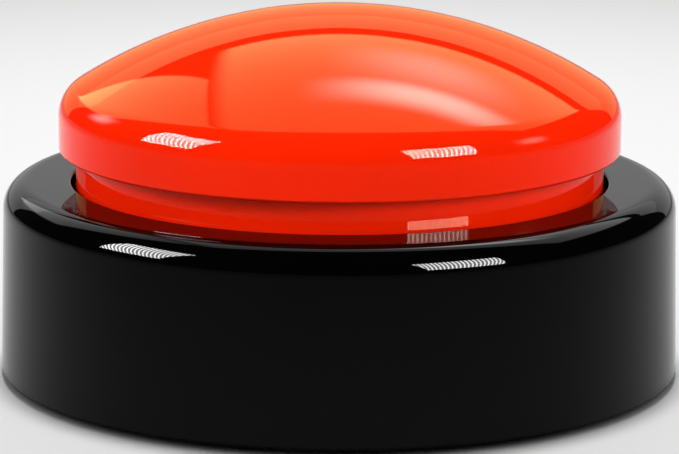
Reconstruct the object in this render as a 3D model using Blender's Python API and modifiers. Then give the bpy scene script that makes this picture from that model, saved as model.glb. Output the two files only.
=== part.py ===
"""Quiz buzzer: a sprung push cap on a round base, with its loudspeaker, board and battery bay.

Metres, +Z up. The origin lies on the table under the middle of the base, and the front faces -Y.
"""
import math

import bmesh
import bpy
from mathutils import Matrix, Vector

MM = 0.001

# Base, as seen from outside
FOOT_HEIGHT = 1.0 * MM
BASE_RADIUS = 45.0 * MM
BASE_DRAFT = 0.6 * MM
BASE_HEIGHT = 24.8 * MM
BASE_EDGE = 3.4 * MM
BASE_WALL = 2.2 * MM
RING_WIDTH = 8.9 * MM

# Push cap
NECK_CLEARANCE = 0.6 * MM
NECK_WALL = 2.0 * MM
RIM_OVERHANG = 2.2 * MM
RIM_GAP = 4.1 * MM
RIM_HEIGHT = 4.6 * MM
RIM_LIP = 0.5 * MM
SHOULDER_RADIUS = 4.6 * MM
DOME_RADIUS = 65.6 * MM
DOME_WALL = 2.0 * MM

# Button carrier under the cap
CARRIER_CLEARANCE = 0.6 * MM
CARRIER_WALL = 1.5 * MM
CARRIER_DEPTH = 4.2 * MM
LUG_REACH = 3.0 * MM
LUG_WIDTH = 8.0 * MM
PLUNGER_RADIUS = 4.0 * MM
PLUNGER_LENGTH = 1.0 * MM
CARRIER_SCREW_INSET = 10.3 * MM
SPRING_INSET = 6.3 * MM

# Return springs and the pegs that hold them
SPRING_RADIUS = 2.9 * MM
SPRING_WIRE = 0.7 * MM
SPRING_TURNS = 5
SPRING_POINTS = 8
PEG_CLEARANCE = 0.5 * MM
PEG_HEIGHT = 1.6 * MM

# Self-tapping screws and their bosses
SCREW_RADIUS = 1.2 * MM
SCREW_HEAD_RADIUS = 2.3 * MM
SCREW_HEAD_HEIGHT = 1.5 * MM
BOSS_RADIUS = 3.0 * MM
BOSS_RIB = 1.6 * MM
POST_RADIUS = 2.8 * MM
CARRIER_SCREW_LENGTH = 8.0 * MM
DECK_SCREW_LENGTH = 6.0 * MM
COVER_SCREW_LENGTH = 9.0 * MM
DOOR_SCREW_LENGTH = 7.0 * MM

# Inner deck, circuit board and what stands on it
DECK_THICKNESS = 1.6 * MM
DECK_CLEARANCE = 0.6 * MM
BOARD_THICKNESS = 1.2 * MM
BOARD_BACK = 15.0 * MM
SWITCH_DOME_RADIUS = 6.0 * MM
SWITCH_DOME_WALL = 0.8 * MM
CHIP_RADIUS = 4.0 * MM
CHIP_HEIGHT = 1.3 * MM
CAPACITOR_RADIUS = 1.6 * MM
CAPACITOR_LENGTH = 7.0 * MM

# Bottom cover with its screw wells, grille and feet
COVER_THICKNESS = 2.0 * MM
COVER_CLEARANCE = 0.35 * MM
WELL_RADIUS = 2.6 * MM
WELL_WALL = 0.8 * MM
WELL_HEIGHT = 4.0 * MM
WELL_WEB = 1.6 * MM
GRILLE_HOLE_RADIUS = 1.1 * MM
GRILLE_PITCH = 4.2 * MM
FOOT_RADIUS = 3.5 * MM
FOOT_SINK = 0.6 * MM
FOOT_INSET = 5.0 * MM

# Battery bay, cells, contacts and door
CELL_RADIUS = 5.25 * MM
CELL_LENGTH = 44.5 * MM
CELL_NUB_RADIUS = 1.9 * MM
CELL_NUB_LENGTH = 1.0 * MM
CELL_CLEARANCE = 0.4 * MM
BAY_FRONT = 1.9 * MM
BAY_WALL = 1.2 * MM
DOOR_THICKNESS = 1.0 * MM
DOOR_LEDGE = 1.0 * MM
DOOR_BOSS_OFFSET = 2.0 * MM
CONTACT_THICKNESS = 0.4 * MM
CONTACT_WIDTH = 8.0 * MM
CONTACT_TAG = 2.0 * MM
CONTACT_SPRING_LENGTH = 4.0 * MM
CONTACT_SPRING_RADIUS = 3.3 * MM
CONTACT_SPRING_TAPER = 1.1 * MM
CONTACT_SPRING_WIRE = 0.6 * MM
CONTACT_SPRING_TURNS = 3

# Loudspeaker and leads
SPEAKER_CLEARANCE = 0.8 * MM
SPEAKER_FLANGE = 1.7 * MM
SPEAKER_SHEET = 1.2 * MM
SPEAKER_DEPTH = 5.7 * MM
MAGNET_RADIUS = 9.0 * MM
MAGNET_HEIGHT = 4.0 * MM
LEAD_RADIUS = 0.5 * MM
LEAD_HOLE_CLEARANCE = 0.7 * MM

SEAT_GAP = 0.3 * MM
OUTER_STEPS = 56
INNER_STEPS = 28
SCREW_STEPS = 10
MERGE_DISTANCE = 0.00001
THROUGH = 1.0 * MM

# Heights that follow, from the table up
Z_BASE = FOOT_HEIGHT
Z_RING = Z_BASE + BASE_HEIGHT
Z_UNDER = Z_RING - BASE_WALL
Z_RIM = Z_RING + RIM_GAP
Z_SHOULDER = Z_RIM + RIM_HEIGHT
Z_LUG_TOP = Z_UNDER - SEAT_GAP
Z_LUG = Z_LUG_TOP - CARRIER_WALL
Z_NECK = Z_LUG_TOP + SEAT_GAP
Z_PLATE = Z_LUG + CARRIER_DEPTH
Z_PLATE_TOP = Z_PLATE + CARRIER_WALL
Z_CAP_BOSS = Z_PLATE_TOP + SEAT_GAP
Z_COVER_TOP = Z_BASE + COVER_THICKNESS
Z_DOOR_TOP = Z_BASE + DOOR_THICKNESS
Z_LEDGE = Z_DOOR_TOP + SEAT_GAP
Z_CELL = Z_DOOR_TOP + SEAT_GAP + CELL_RADIUS
Z_CEILING = Z_CELL + CELL_RADIUS + CELL_CLEARANCE
Z_ROOF = Z_CEILING + BAY_WALL
Z_DECK = Z_ROOF + SEAT_GAP
Z_DECK_TOP = Z_DECK + DECK_THICKNESS
Z_BOARD = Z_DECK_TOP + SEAT_GAP
Z_BOARD_TOP = Z_BOARD + BOARD_THICKNESS
Z_PLUNGER = Z_PLATE - PLUNGER_LENGTH
Z_WELL_TOP = Z_BASE + WELL_HEIGHT
Z_WELL_SEAT = Z_WELL_TOP - WELL_WEB

# Radii that follow, from the outside in
WALL_TOP_RADIUS = BASE_RADIUS - BASE_DRAFT
BORE_RADIUS = WALL_TOP_RADIUS - BASE_WALL
OPENING_RADIUS = WALL_TOP_RADIUS - RING_WIDTH
NECK_RADIUS = OPENING_RADIUS - NECK_CLEARANCE
NECK_BORE = NECK_RADIUS - NECK_WALL
RIM_RADIUS = NECK_RADIUS + RIM_OVERHANG
CARRIER_RADIUS = NECK_BORE - CARRIER_CLEARANCE
CARRIER_BORE = CARRIER_RADIUS - CARRIER_WALL
CARRIER_SCREW_CIRCLE = CARRIER_RADIUS - CARRIER_SCREW_INSET
SPRING_CIRCLE = CARRIER_RADIUS - SPRING_INSET
BOSS_CIRCLE = OPENING_RADIUS + SEAT_GAP + BOSS_RADIUS
POST_CIRCLE = OPENING_RADIUS + SEAT_GAP + POST_RADIUS
DECK_RADIUS = BORE_RADIUS - DECK_CLEARANCE
COVER_RADIUS = BORE_RADIUS + BASE_DRAFT * (1.0 - COVER_THICKNESS / BASE_HEIGHT) - COVER_CLEARANCE
SCREW_HOLE = SCREW_RADIUS + SEAT_GAP
PEG_RADIUS = SPRING_RADIUS - SPRING_WIRE / 2 - PEG_CLEARANCE
LEAD_HOLE = LEAD_RADIUS + LEAD_HOLE_CLEARANCE
SHOULDER_CENTRE = RIM_RADIUS - SHOULDER_RADIUS
DOME_CENTRE = Z_SHOULDER - math.sqrt((DOME_RADIUS - SHOULDER_RADIUS) ** 2 - SHOULDER_CENTRE ** 2)

# Places that follow, in plan
BAY_BACK = BAY_FRONT + 4 * CELL_RADIUS + 3 * CELL_CLEARANCE
CELL_ROWS = (BAY_FRONT + CELL_CLEARANCE + CELL_RADIUS, BAY_BACK - CELL_CLEARANCE - CELL_RADIUS)
CONTACT_ROOM = CONTACT_THICKNESS + 2 * SEAT_GAP
BAY_HALF = (CELL_LENGTH + CONTACT_SPRING_LENGTH) / 2 + CONTACT_ROOM
CONTACT_FACE = BAY_HALF - SEAT_GAP - CONTACT_THICKNESS
DOOR_BACK = BAY_BACK + DOOR_LEDGE - SEAT_GAP
DOOR_BOSS_Y = BAY_BACK + BAY_WALL + DOOR_BOSS_OFFSET
DOOR_BOSS_RADIUS = WELL_RADIUS + WELL_WALL
FOOT_CIRCLE = COVER_RADIUS - FOOT_INSET
FOOT_Y = DOOR_BACK + FOOT_RADIUS + 4 * SEAT_GAP
FOOT_X = math.sqrt(FOOT_CIRCLE ** 2 - FOOT_Y ** 2)
SPEAKER_BACK = BAY_FRONT - BAY_WALL - SPEAKER_CLEARANCE
SPEAKER_FRONT = -BOSS_CIRCLE + WELL_RADIUS + WELL_WALL + SPEAKER_CLEARANCE
SPEAKER_RADIUS = (SPEAKER_BACK - SPEAKER_FRONT) / 2
SPEAKER_Y = (SPEAKER_BACK + SPEAKER_FRONT) / 2
SPRING_XY = SPRING_CIRCLE * math.sqrt(0.5)
BOARD_HALF = SPRING_XY - SPRING_RADIUS - SPRING_WIRE - SEAT_GAP
BOARD_FRONT = SPEAKER_Y + LEAD_HOLE + 3 * SEAT_GAP

BOSS_ANGLES = (0.0, 90.0, 180.0, 270.0)
LUG_ANGLES = (45.0, 135.0, 225.0, 315.0)
POST_ANGLES = (22.5, 112.5, 202.5, 292.5)


def ring_places(radius, angles):
    """Points on a circle round the Z axis, one for each angle in degrees."""
    return [(radius * math.cos(math.radians(a)), radius * math.sin(math.radians(a))) for a in angles]


def arc(centre_r, centre_z, radius, start, end, count):
    """Profile points on an arc, from the start angle to the end angle in degrees."""
    turns = [math.radians(start + (end - start) * i / count) for i in range(count + 1)]
    return [(centre_r + radius * math.cos(t), centre_z + radius * math.sin(t)) for t in turns]


def new_collection(name):
    group = bpy.data.collections.new(name)
    bpy.context.scene.collection.children.link(group)
    return group


def linear(channel):
    return channel / 12.92 if channel <= 0.04045 else ((channel + 0.055) / 1.055) ** 2.4


def finish(name, colour, roughness, metallic=0.0):
    """A Principled material from an sRGB hex colour."""
    surface = bpy.data.materials.new(name)
    surface.use_nodes = True
    shader = surface.node_tree.nodes["Principled BSDF"]
    channels = [linear(int(colour[i:i + 2], 16) / 255) for i in (0, 2, 4)]
    shader.inputs["Base Color"].default_value = (*channels, 1.0)
    shader.inputs["Roughness"].default_value = roughness
    shader.inputs["Metallic"].default_value = metallic
    surface.diffuse_color = (*channels, 1.0)
    return surface


def add_part(name, mesh, surface, place=(0.0, 0.0, 0.0)):
    part = bpy.data.objects.new(name, mesh)
    part.location = place
    mesh.materials.clear()
    mesh.materials.append(surface)
    parts.objects.link(part)
    return part


def turned(name, profile, surface, steps=INNER_STEPS, ring=False, place=(0.0, 0.0, 0.0)):
    """A profile of (radius, height) points carried once round Z; a ring's profile closes on itself."""
    count = len(profile)
    edges = [(i, i + 1) for i in range(count - 1)]
    if ring:
        edges.append((count - 1, 0))
    mesh = bpy.data.meshes.new(name)
    mesh.from_pydata([(r, 0.0, z) for r, z in profile], edges, [])
    part = add_part(name, mesh, surface, place)
    turn = part.modifiers.new("Turn", 'SCREW')
    turn.axis = 'Z'
    turn.angle = 2 * math.pi
    turn.steps = steps
    turn.render_steps = steps
    turn.use_merge_vertices = True
    turn.merge_threshold = MERGE_DISTANCE
    turn.use_smooth_shade = True
    return part


def rod(shape, place, low, high, radius, sides=SCREW_STEPS):
    """Add an upright closed cylinder to a bmesh."""
    middle = Vector((place[0], place[1], (low + high) / 2))
    bmesh.ops.create_cone(shape, cap_ends=True, segments=sides, radius1=radius, radius2=radius,
                          depth=high - low, matrix=Matrix.Translation(middle))


def block(shape, low, high, turn=0.0):
    """Add a closed box between two corners to a bmesh, turned round the Z axis by degrees."""
    low, high = Vector(low), Vector(high)
    seat = Matrix.LocRotScale((low + high) / 2, None, high - low)
    spin = Matrix.Rotation(math.radians(turn), 4, 'Z')
    bmesh.ops.create_cube(shape, size=1.0, matrix=spin @ seat)


def mesh_from(shape, name):
    mesh = bpy.data.meshes.new(name)
    shape.to_mesh(mesh)
    shape.free()
    return mesh


def tool(name, shape):
    """Keep a bmesh as a hidden wire object that joins or cuts a part."""
    guide = bpy.data.objects.new(name, mesh_from(shape, name))
    guide.hide_render = True
    guide.display_type = 'WIRE'
    tools.objects.link(guide)
    return guide


def combine(part, guide, operation):
    step = part.modifiers.new(guide.name, 'BOOLEAN')
    step.operation = operation
    step.solver = 'EXACT'
    step.object = guide


def tube(name, points, radius, surface, place=(0.0, 0.0, 0.0), sides_level=1):
    """A round wire along the points, with closed ends."""
    curve = bpy.data.curves.new(name, 'CURVE')
    curve.dimensions = '3D'
    curve.bevel_depth = radius
    curve.bevel_resolution = sides_level
    curve.use_fill_caps = True
    path = curve.splines.new('POLY')
    path.points.add(len(points) - 1)
    for knot, point in zip(path.points, points):
        knot.co = (*point, 1.0)
    part = add_part(name, curve, surface, place)
    return part


def helix(radius, taper, length, turns, per_turn):
    """Points up an even coil whose radius shrinks by the taper from its foot to its head."""
    count = turns * per_turn
    points = []
    for i in range(count + 1):
        angle = 2 * math.pi * i / per_turn
        reach = radius - taper * i / count
        points.append((reach * math.cos(angle), reach * math.sin(angle), length * i / count))
    return points


def least_gap(points, wire, per_turn):
    """Smallest clear space between one turn of a coil and the next, measured point to point."""
    near = []
    for i, point in enumerate(points):
        for other in points[i + per_turn // 2:]:
            near.append(math.dist(point, other))
    return min(near) - wire


def smooth_route(points, per_span=4):
    """Points on a Catmull-Rom curve through a route's own points."""
    route = [Vector(p) for p in points]
    ends = [2 * route[0] - route[1]] + route + [2 * route[-1] - route[-2]]
    curve = []
    for a, b, c, d in zip(ends, ends[1:], ends[2:], ends[3:]):
        for i in range(per_span):
            t = i / per_span
            curve.append(0.5 * (2 * b + (c - a) * t + (2 * a - 5 * b + 4 * c - d) * t ** 2
                                + (3 * b - a - 3 * c + d) * t ** 3))
    return curve + [route[-1]]


def pan_screw(name, length, surface, place):
    """A pan-head screw pointing up, with its origin in the middle of its bearing face."""
    tip = SCREW_RADIUS
    soften = SCREW_HEAD_HEIGHT / 4
    profile = [(0.0, length), (SCREW_RADIUS / 2, length), (SCREW_RADIUS, length - tip), (SCREW_RADIUS, 0.0),
               (SCREW_HEAD_RADIUS, 0.0), (SCREW_HEAD_RADIUS, soften - SCREW_HEAD_HEIGHT),
               (SCREW_HEAD_RADIUS - soften, -SCREW_HEAD_HEIGHT), (0.0, -SCREW_HEAD_HEIGHT)]
    return turned(name, profile, surface, SCREW_STEPS, place=place)


# Start from an empty scene
for old in list(bpy.data.objects):
    bpy.data.objects.remove(old)
parts = new_collection("quiz_buzzer")
tools = new_collection("quiz_buzzer_cutters")

red_abs = finish("red_gloss_abs", "F5300A", 0.12)
black_abs = finish("black_gloss_abs", "0B0B0B", 0.12)
grey_abs = finish("grey_matt_abs", "3A3A3C", 0.5)
zinc_steel = finish("zinc_plated_steel", "B9BABC", 0.35, 1.0)
spring_steel = finish("spring_steel", "9C9EA2", 0.3, 1.0)
nickel_strip = finish("nickel_plated_strip", "C4C0B6", 0.3, 1.0)
green_board = finish("green_solder_mask", "1F6B3A", 0.35)
black_resin = finish("black_resin", "101010", 0.25)
white_silicone = finish("white_silicone", "D9D7CF", 0.6)
black_rubber = finish("black_rubber", "161616", 0.8)
cell_wrap = finish("cell_wrap", "2C4A8C", 0.3)
black_paper = finish("black_paper_cone", "181818", 0.9)
ferrite = finish("grey_ferrite", "4A4A4C", 0.7)
pressed_steel = finish("pressed_steel", "8E9094", 0.4, 1.0)
blue_sleeve = finish("blue_sleeve", "1E3F7A", 0.4)
red_pvc = finish("red_pvc", "B3201C", 0.45)
black_pvc = finish("black_pvc", "1A1A1A", 0.45)

# Base shell: drafted wall, rounded edge and flat top ring round the opening
inner_edge = max(BASE_EDGE - BASE_WALL, SEAT_GAP)
edge_r = WALL_TOP_RADIUS - BASE_EDGE
shell_profile = [(OPENING_RADIUS, Z_RING)]
shell_profile += arc(edge_r, Z_RING - BASE_EDGE, BASE_EDGE, 90.0, 0.0, 5)
shell_profile += [(BASE_RADIUS, Z_BASE), (BASE_RADIUS - BASE_WALL, Z_BASE)]
shell_profile += arc(BORE_RADIUS - inner_edge, Z_UNDER - inner_edge, inner_edge, 0.0, 90.0, 2)
shell_profile += [(OPENING_RADIUS, Z_UNDER)]
base_shell = turned("base_shell", shell_profile, black_abs, OUTER_STEPS, ring=True)

# Its long bosses reach down to the cover, its short posts down to the deck, ribs tie them to the wall
shell_bosses = bmesh.new()
inside_ring = Z_RING - BASE_WALL / 2
boss_places = ring_places(BOSS_CIRCLE, BOSS_ANGLES)
post_places = ring_places(POST_CIRCLE, POST_ANGLES)
for place in boss_places:
    rod(shell_bosses, place, Z_WELL_TOP + SEAT_GAP, inside_ring, BOSS_RADIUS)
for place in post_places:
    rod(shell_bosses, place, Z_DECK_TOP + SEAT_GAP, inside_ring, POST_RADIUS)
combine(base_shell, tool("shell_bosses", shell_bosses), 'UNION')
shell_ribs = bmesh.new()
for angle in BOSS_ANGLES:
    block(shell_ribs, (BOSS_CIRCLE + SCREW_HOLE + SEAT_GAP, -BOSS_RIB / 2, Z_WELL_TOP + BOSS_RADIUS),
          (BORE_RADIUS + BASE_WALL / 2, BOSS_RIB / 2, inside_ring - BOSS_RIB / 2), angle)
combine(base_shell, tool("shell_ribs", shell_ribs), 'UNION')
shell_pilots = bmesh.new()
for place in boss_places:
    rod(shell_pilots, place, Z_WELL_TOP - THROUGH, Z_WELL_SEAT + COVER_SCREW_LENGTH + THROUGH, SCREW_HOLE)
for place in post_places:
    rod(shell_pilots, place, Z_DECK_TOP - THROUGH, Z_DECK + DECK_SCREW_LENGTH + SEAT_GAP, SCREW_HOLE)
combine(base_shell, tool("shell_pilots", shell_pilots), 'DIFFERENCE')

# Everything on the button travels along this axis
press_axis = bpy.data.objects.new("press_axis", None)
parts.objects.link(press_axis)

# Dome cap: shallow dome, rounded shoulder, upright rim and the neck that goes into the base
blend_angle = math.degrees(math.atan2(Z_SHOULDER - DOME_CENTRE, SHOULDER_CENTRE))
dome_bore = DOME_RADIUS - DOME_WALL
bore_angle = math.degrees(math.acos(NECK_BORE / dome_bore))
cap_profile = arc(0.0, DOME_CENTRE, DOME_RADIUS, 90.0, blend_angle, 7)
cap_profile += arc(SHOULDER_CENTRE, Z_SHOULDER, SHOULDER_RADIUS, blend_angle, 0.0, 4)[1:]
cap_profile += arc(RIM_RADIUS - RIM_LIP, Z_RIM + RIM_LIP, RIM_LIP, 0.0, -90.0, 2)
cap_profile += [(NECK_RADIUS, Z_RIM), (NECK_RADIUS, Z_NECK), (NECK_BORE, Z_NECK)]
cap_profile += arc(0.0, DOME_CENTRE, dome_bore, bore_angle, 90.0, 3)
cap_profile[0] = (0.0, cap_profile[0][1])
cap_profile[-1] = (0.0, cap_profile[-1][1])
dome_cap = turned("dome_cap", cap_profile, red_abs, OUTER_STEPS)
cap_bosses = bmesh.new()
cap_pilots = bmesh.new()
carrier_screw_places = ring_places(CARRIER_SCREW_CIRCLE, BOSS_ANGLES)
boss_far = CARRIER_SCREW_CIRCLE + BOSS_RADIUS
boss_top = DOME_CENTRE + math.sqrt(DOME_RADIUS ** 2 - boss_far ** 2) - SEAT_GAP
for place in carrier_screw_places:
    rod(cap_bosses, place, Z_CAP_BOSS, boss_top, BOSS_RADIUS)
    rod(cap_pilots, place, Z_CAP_BOSS - THROUGH, Z_PLATE + CARRIER_SCREW_LENGTH + THROUGH, SCREW_HOLE)
combine(dome_cap, tool("cap_bosses", cap_bosses), 'UNION')
combine(dome_cap, tool("cap_pilots", cap_pilots), 'DIFFERENCE')
dome_cap.parent = press_axis

# Button carrier: a cup inside the neck, with a flange under it, four lugs and a plunger
carrier_profile = [(0.0, Z_PLATE_TOP), (CARRIER_RADIUS, Z_PLATE_TOP), (CARRIER_RADIUS, Z_LUG_TOP),
                   (NECK_RADIUS, Z_LUG_TOP), (NECK_RADIUS, Z_LUG), (CARRIER_BORE, Z_LUG),
                   (CARRIER_BORE, Z_PLATE), (PLUNGER_RADIUS, Z_PLATE), (PLUNGER_RADIUS, Z_PLUNGER),
                   (0.0, Z_PLUNGER)]
button_carrier = turned("button_carrier", carrier_profile, grey_abs, INNER_STEPS)
carrier_adds = bmesh.new()
for angle in LUG_ANGLES:
    block(carrier_adds, (CARRIER_BORE + CARRIER_WALL / 2, -LUG_WIDTH / 2, Z_LUG),
          (OPENING_RADIUS + LUG_REACH, LUG_WIDTH / 2, Z_LUG_TOP), angle)
spring_places = ring_places(SPRING_CIRCLE, LUG_ANGLES)
for place in spring_places:
    rod(carrier_adds, place, Z_PLATE - PEG_HEIGHT, Z_PLATE + CARRIER_WALL / 2, PEG_RADIUS)
combine(button_carrier, tool("carrier_adds", carrier_adds), 'UNION')
carrier_holes = bmesh.new()
for place in carrier_screw_places:
    rod(carrier_holes, place, Z_PLATE - THROUGH, Z_PLATE_TOP + THROUGH, SCREW_HOLE)
combine(button_carrier, tool("carrier_holes", carrier_holes), 'DIFFERENCE')
button_carrier.parent = press_axis
for i, (x, y) in enumerate(carrier_screw_places, 1):
    screw = pan_screw(f"carrier_screw_{i}", CARRIER_SCREW_LENGTH, zinc_steel, (x, y, Z_PLATE - SEAT_GAP))
    screw.parent = press_axis

# Inner deck: round plate with notches for the bosses, spring pegs and holes for screws and leads
speaker_lead_x = MAGNET_RADIUS + LEAD_HOLE + 2 * SEAT_GAP
battery_lead_x = BAY_HALF + BAY_WALL + CONTACT_TAG
lead_holes = [(speaker_lead_x, SPEAKER_Y), (-speaker_lead_x, SPEAKER_Y)]
lead_holes += [(battery_lead_x, row) for row in CELL_ROWS]
deck_disc = bmesh.new()
rod(deck_disc, (0.0, 0.0), Z_DECK, Z_DECK_TOP, DECK_RADIUS, OUTER_STEPS)
inner_deck = add_part("inner_deck", mesh_from(deck_disc, "inner_deck"), grey_abs)
deck_pegs = bmesh.new()
for place in spring_places:
    rod(deck_pegs, place, Z_DECK + DECK_THICKNESS / 2, Z_DECK_TOP + PEG_HEIGHT, PEG_RADIUS)
combine(inner_deck, tool("deck_pegs", deck_pegs), 'UNION')
deck_holes = bmesh.new()
for place in boss_places:
    rod(deck_holes, place, Z_DECK - THROUGH, Z_DECK_TOP + THROUGH, BOSS_RADIUS + 2 * SEAT_GAP)
for place in post_places:
    rod(deck_holes, place, Z_DECK - THROUGH, Z_DECK_TOP + THROUGH, SCREW_HOLE)
for place in lead_holes:
    rod(deck_holes, place, Z_DECK - THROUGH, Z_DECK_TOP + THROUGH, LEAD_HOLE)
combine(inner_deck, tool("deck_holes", deck_holes), 'DIFFERENCE')
for i, (x, y) in enumerate(post_places, 1):
    pan_screw(f"deck_screw_{i}", DECK_SCREW_LENGTH, zinc_steel, (x, y, Z_DECK - SEAT_GAP))

# Return springs between deck and carrier, round their pegs
spring_low = Z_DECK_TOP + SEAT_GAP + SPRING_WIRE / 2
spring_high = Z_PLATE - SEAT_GAP - SPRING_WIRE / 2
spring_points = helix(SPRING_RADIUS, 0.0, spring_high - spring_low, SPRING_TURNS, SPRING_POINTS)
for i, (x, y) in enumerate(spring_places, 1):
    tube(f"return_spring_{i}", spring_points, SPRING_WIRE / 2, spring_steel, (x, y, spring_low))
print("return spring gap", least_gap(spring_points, SPRING_WIRE, SPRING_POINTS))

# Circuit board on the deck, with the chip and the capacitor
board_shape = bmesh.new()
block(board_shape, (-BOARD_HALF, BOARD_FRONT, Z_BOARD), (BOARD_HALF, BOARD_BACK, Z_BOARD_TOP))
add_part("circuit_board", mesh_from(board_shape, "circuit_board"), green_board)
z_on_board = Z_BOARD_TOP + SEAT_GAP
chip_y = SWITCH_DOME_RADIUS + CHIP_RADIUS + 2 * SEAT_GAP
drop_angles = [math.radians(a) for a in (90, 60, 30, 0)]
chip_profile = [(CHIP_RADIUS * math.cos(a), CHIP_HEIGHT * math.sin(a)) for a in drop_angles]
chip_profile[0] = (0.0, CHIP_HEIGHT)
chip_profile.append((0.0, 0.0))
turned("sound_chip", chip_profile, black_resin, SCREW_STEPS, place=(0.0, chip_y, z_on_board))
can_soften = CAPACITOR_RADIUS / 4
can_profile = [(0.0, CAPACITOR_LENGTH), (CAPACITOR_RADIUS - can_soften, CAPACITOR_LENGTH),
               (CAPACITOR_RADIUS, CAPACITOR_LENGTH - can_soften), (CAPACITOR_RADIUS, 0.0), (0.0, 0.0)]
can_y = -SWITCH_DOME_RADIUS - CAPACITOR_RADIUS - SEAT_GAP
can_place = (-CAPACITOR_LENGTH / 2, can_y, z_on_board + CAPACITOR_RADIUS)
capacitor = turned("capacitor", can_profile, blue_sleeve, SCREW_STEPS, place=can_place)
capacitor.rotation_euler = (0.0, math.pi / 2, 0.0)

# Silicone switch dome: a hollow cone with a flat foot, just under the plunger
dome_top = Z_PLUNGER - SEAT_GAP
crown = PLUNGER_RADIUS
skirt = SWITCH_DOME_RADIUS - SWITCH_DOME_WALL
sole = z_on_board + SWITCH_DOME_WALL
dome_ceiling = dome_top - 2 * SWITCH_DOME_WALL
dome_profile = [(0.0, dome_top), (crown, dome_top), (skirt, sole), (SWITCH_DOME_RADIUS, sole),
                (SWITCH_DOME_RADIUS, z_on_board), (skirt - SWITCH_DOME_WALL, z_on_board),
                (crown - SWITCH_DOME_WALL, dome_ceiling), (0.0, dome_ceiling)]
turned("switch_dome", dome_profile, white_silicone, 2 * SCREW_STEPS)

# Bottom cover: flat disc with screw wells, battery bay, door boss, grille holes and foot recesses
cover_disc = bmesh.new()
rod(cover_disc, (0.0, 0.0), Z_BASE, Z_COVER_TOP, COVER_RADIUS, OUTER_STEPS)
bottom_cover = add_part("bottom_cover", mesh_from(cover_disc, "bottom_cover"), black_abs)
door_seat = Z_WELL_SEAT
door_boss_top = door_seat + WELL_WEB
door_pocket = DOOR_BOSS_RADIUS + SEAT_GAP
cover_wells = bmesh.new()
cover_middle = Z_BASE + COVER_THICKNESS / 2
for place in boss_places:
    rod(cover_wells, place, cover_middle, Z_WELL_TOP, WELL_RADIUS + WELL_WALL)
combine(bottom_cover, tool("cover_wells", cover_wells), 'UNION')
door_boss = bmesh.new()
door_boss_high = door_seat + DOOR_SCREW_LENGTH + THROUGH
rod(door_boss, (0.0, DOOR_BOSS_Y), cover_middle, door_boss_high, door_pocket + BAY_WALL)
combine(bottom_cover, tool("door_boss", door_boss), 'UNION')
bay_walls = bmesh.new()
block(bay_walls, (-BAY_HALF - BAY_WALL, BAY_FRONT - BAY_WALL, cover_middle),
      (BAY_HALF + BAY_WALL, BAY_BACK + BAY_WALL, Z_ROOF))
combine(bottom_cover, tool("bay_walls", bay_walls), 'UNION')
foot_places = [(sx * FOOT_X, sy * FOOT_Y) for sx in (-1, 1) for sy in (-1, 1)]
cover_cuts = bmesh.new()
for place in boss_places:
    rod(cover_cuts, place, Z_BASE - THROUGH, Z_WELL_SEAT, WELL_RADIUS)
for place in foot_places:
    rod(cover_cuts, place, Z_BASE - THROUGH, Z_BASE + FOOT_SINK + SEAT_GAP, FOOT_RADIUS + SEAT_GAP)
rod(cover_cuts, (0.0, DOOR_BOSS_Y), Z_BASE - THROUGH, door_boss_top + SEAT_GAP, door_pocket)
for ring, count in ((0, 1), (1, 6), (2, 12)):
    for x, y in ring_places(ring * GRILLE_PITCH, [360.0 * i / count for i in range(count)]):
        rod(cover_cuts, (x, SPEAKER_Y + y), Z_BASE - THROUGH, Z_COVER_TOP + THROUGH, GRILLE_HOLE_RADIUS, 8)
combine(bottom_cover, tool("cover_cuts", cover_cuts), 'DIFFERENCE')
screw_cuts = bmesh.new()
for place in boss_places:
    rod(screw_cuts, place, Z_BASE - THROUGH, Z_WELL_TOP + THROUGH, SCREW_HOLE)
rod(screw_cuts, (0.0, DOOR_BOSS_Y), Z_BASE - THROUGH, door_seat + DOOR_SCREW_LENGTH + SEAT_GAP, SCREW_HOLE)
combine(bottom_cover, tool("screw_cuts", screw_cuts), 'DIFFERENCE')
bay_hollow = bmesh.new()
block(bay_hollow, (-BAY_HALF, BAY_FRONT, Z_BASE - THROUGH), (BAY_HALF, BAY_BACK, Z_CEILING))
combine(bottom_cover, tool("bay_hollow", bay_hollow), 'DIFFERENCE')
door_rebate = bmesh.new()
block(door_rebate, (-BAY_HALF - DOOR_LEDGE, BAY_FRONT - DOOR_LEDGE, Z_BASE - THROUGH),
      (BAY_HALF + DOOR_LEDGE, BAY_BACK + DOOR_LEDGE, Z_LEDGE))
combine(bottom_cover, tool("door_rebate", door_rebate), 'DIFFERENCE')
tag_slots = bmesh.new()
tag_half = CONTACT_WIDTH / 8
slot_half = tag_half + SEAT_GAP
slot_rise = CONTACT_THICKNESS / 2 + SEAT_GAP
for row in CELL_ROWS:
    block(tag_slots, (BAY_HALF - THROUGH, row - slot_half, Z_CELL - slot_rise),
          (BAY_HALF + BAY_WALL + THROUGH, row + slot_half, Z_CELL + slot_rise))
combine(bottom_cover, tool("tag_slots", tag_slots), 'DIFFERENCE')
for i, (x, y) in enumerate(boss_places, 1):
    pan_screw(f"cover_screw_{i}", COVER_SCREW_LENGTH, zinc_steel, (x, y, Z_WELL_SEAT - SEAT_GAP))

# Rubber feet in their recesses
foot_soften = FOOT_HEIGHT / 2
foot_top = FOOT_HEIGHT + FOOT_SINK
foot_profile = [(0.0, foot_top), (FOOT_RADIUS, foot_top), (FOOT_RADIUS, foot_soften),
                (FOOT_RADIUS - foot_soften, 0.0), (0.0, 0.0)]
for i, (x, y) in enumerate(foot_places, 1):
    turned(f"rubber_foot_{i}", foot_profile, black_rubber, 2 * SCREW_STEPS, place=(x, y, 0.0))

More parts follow.
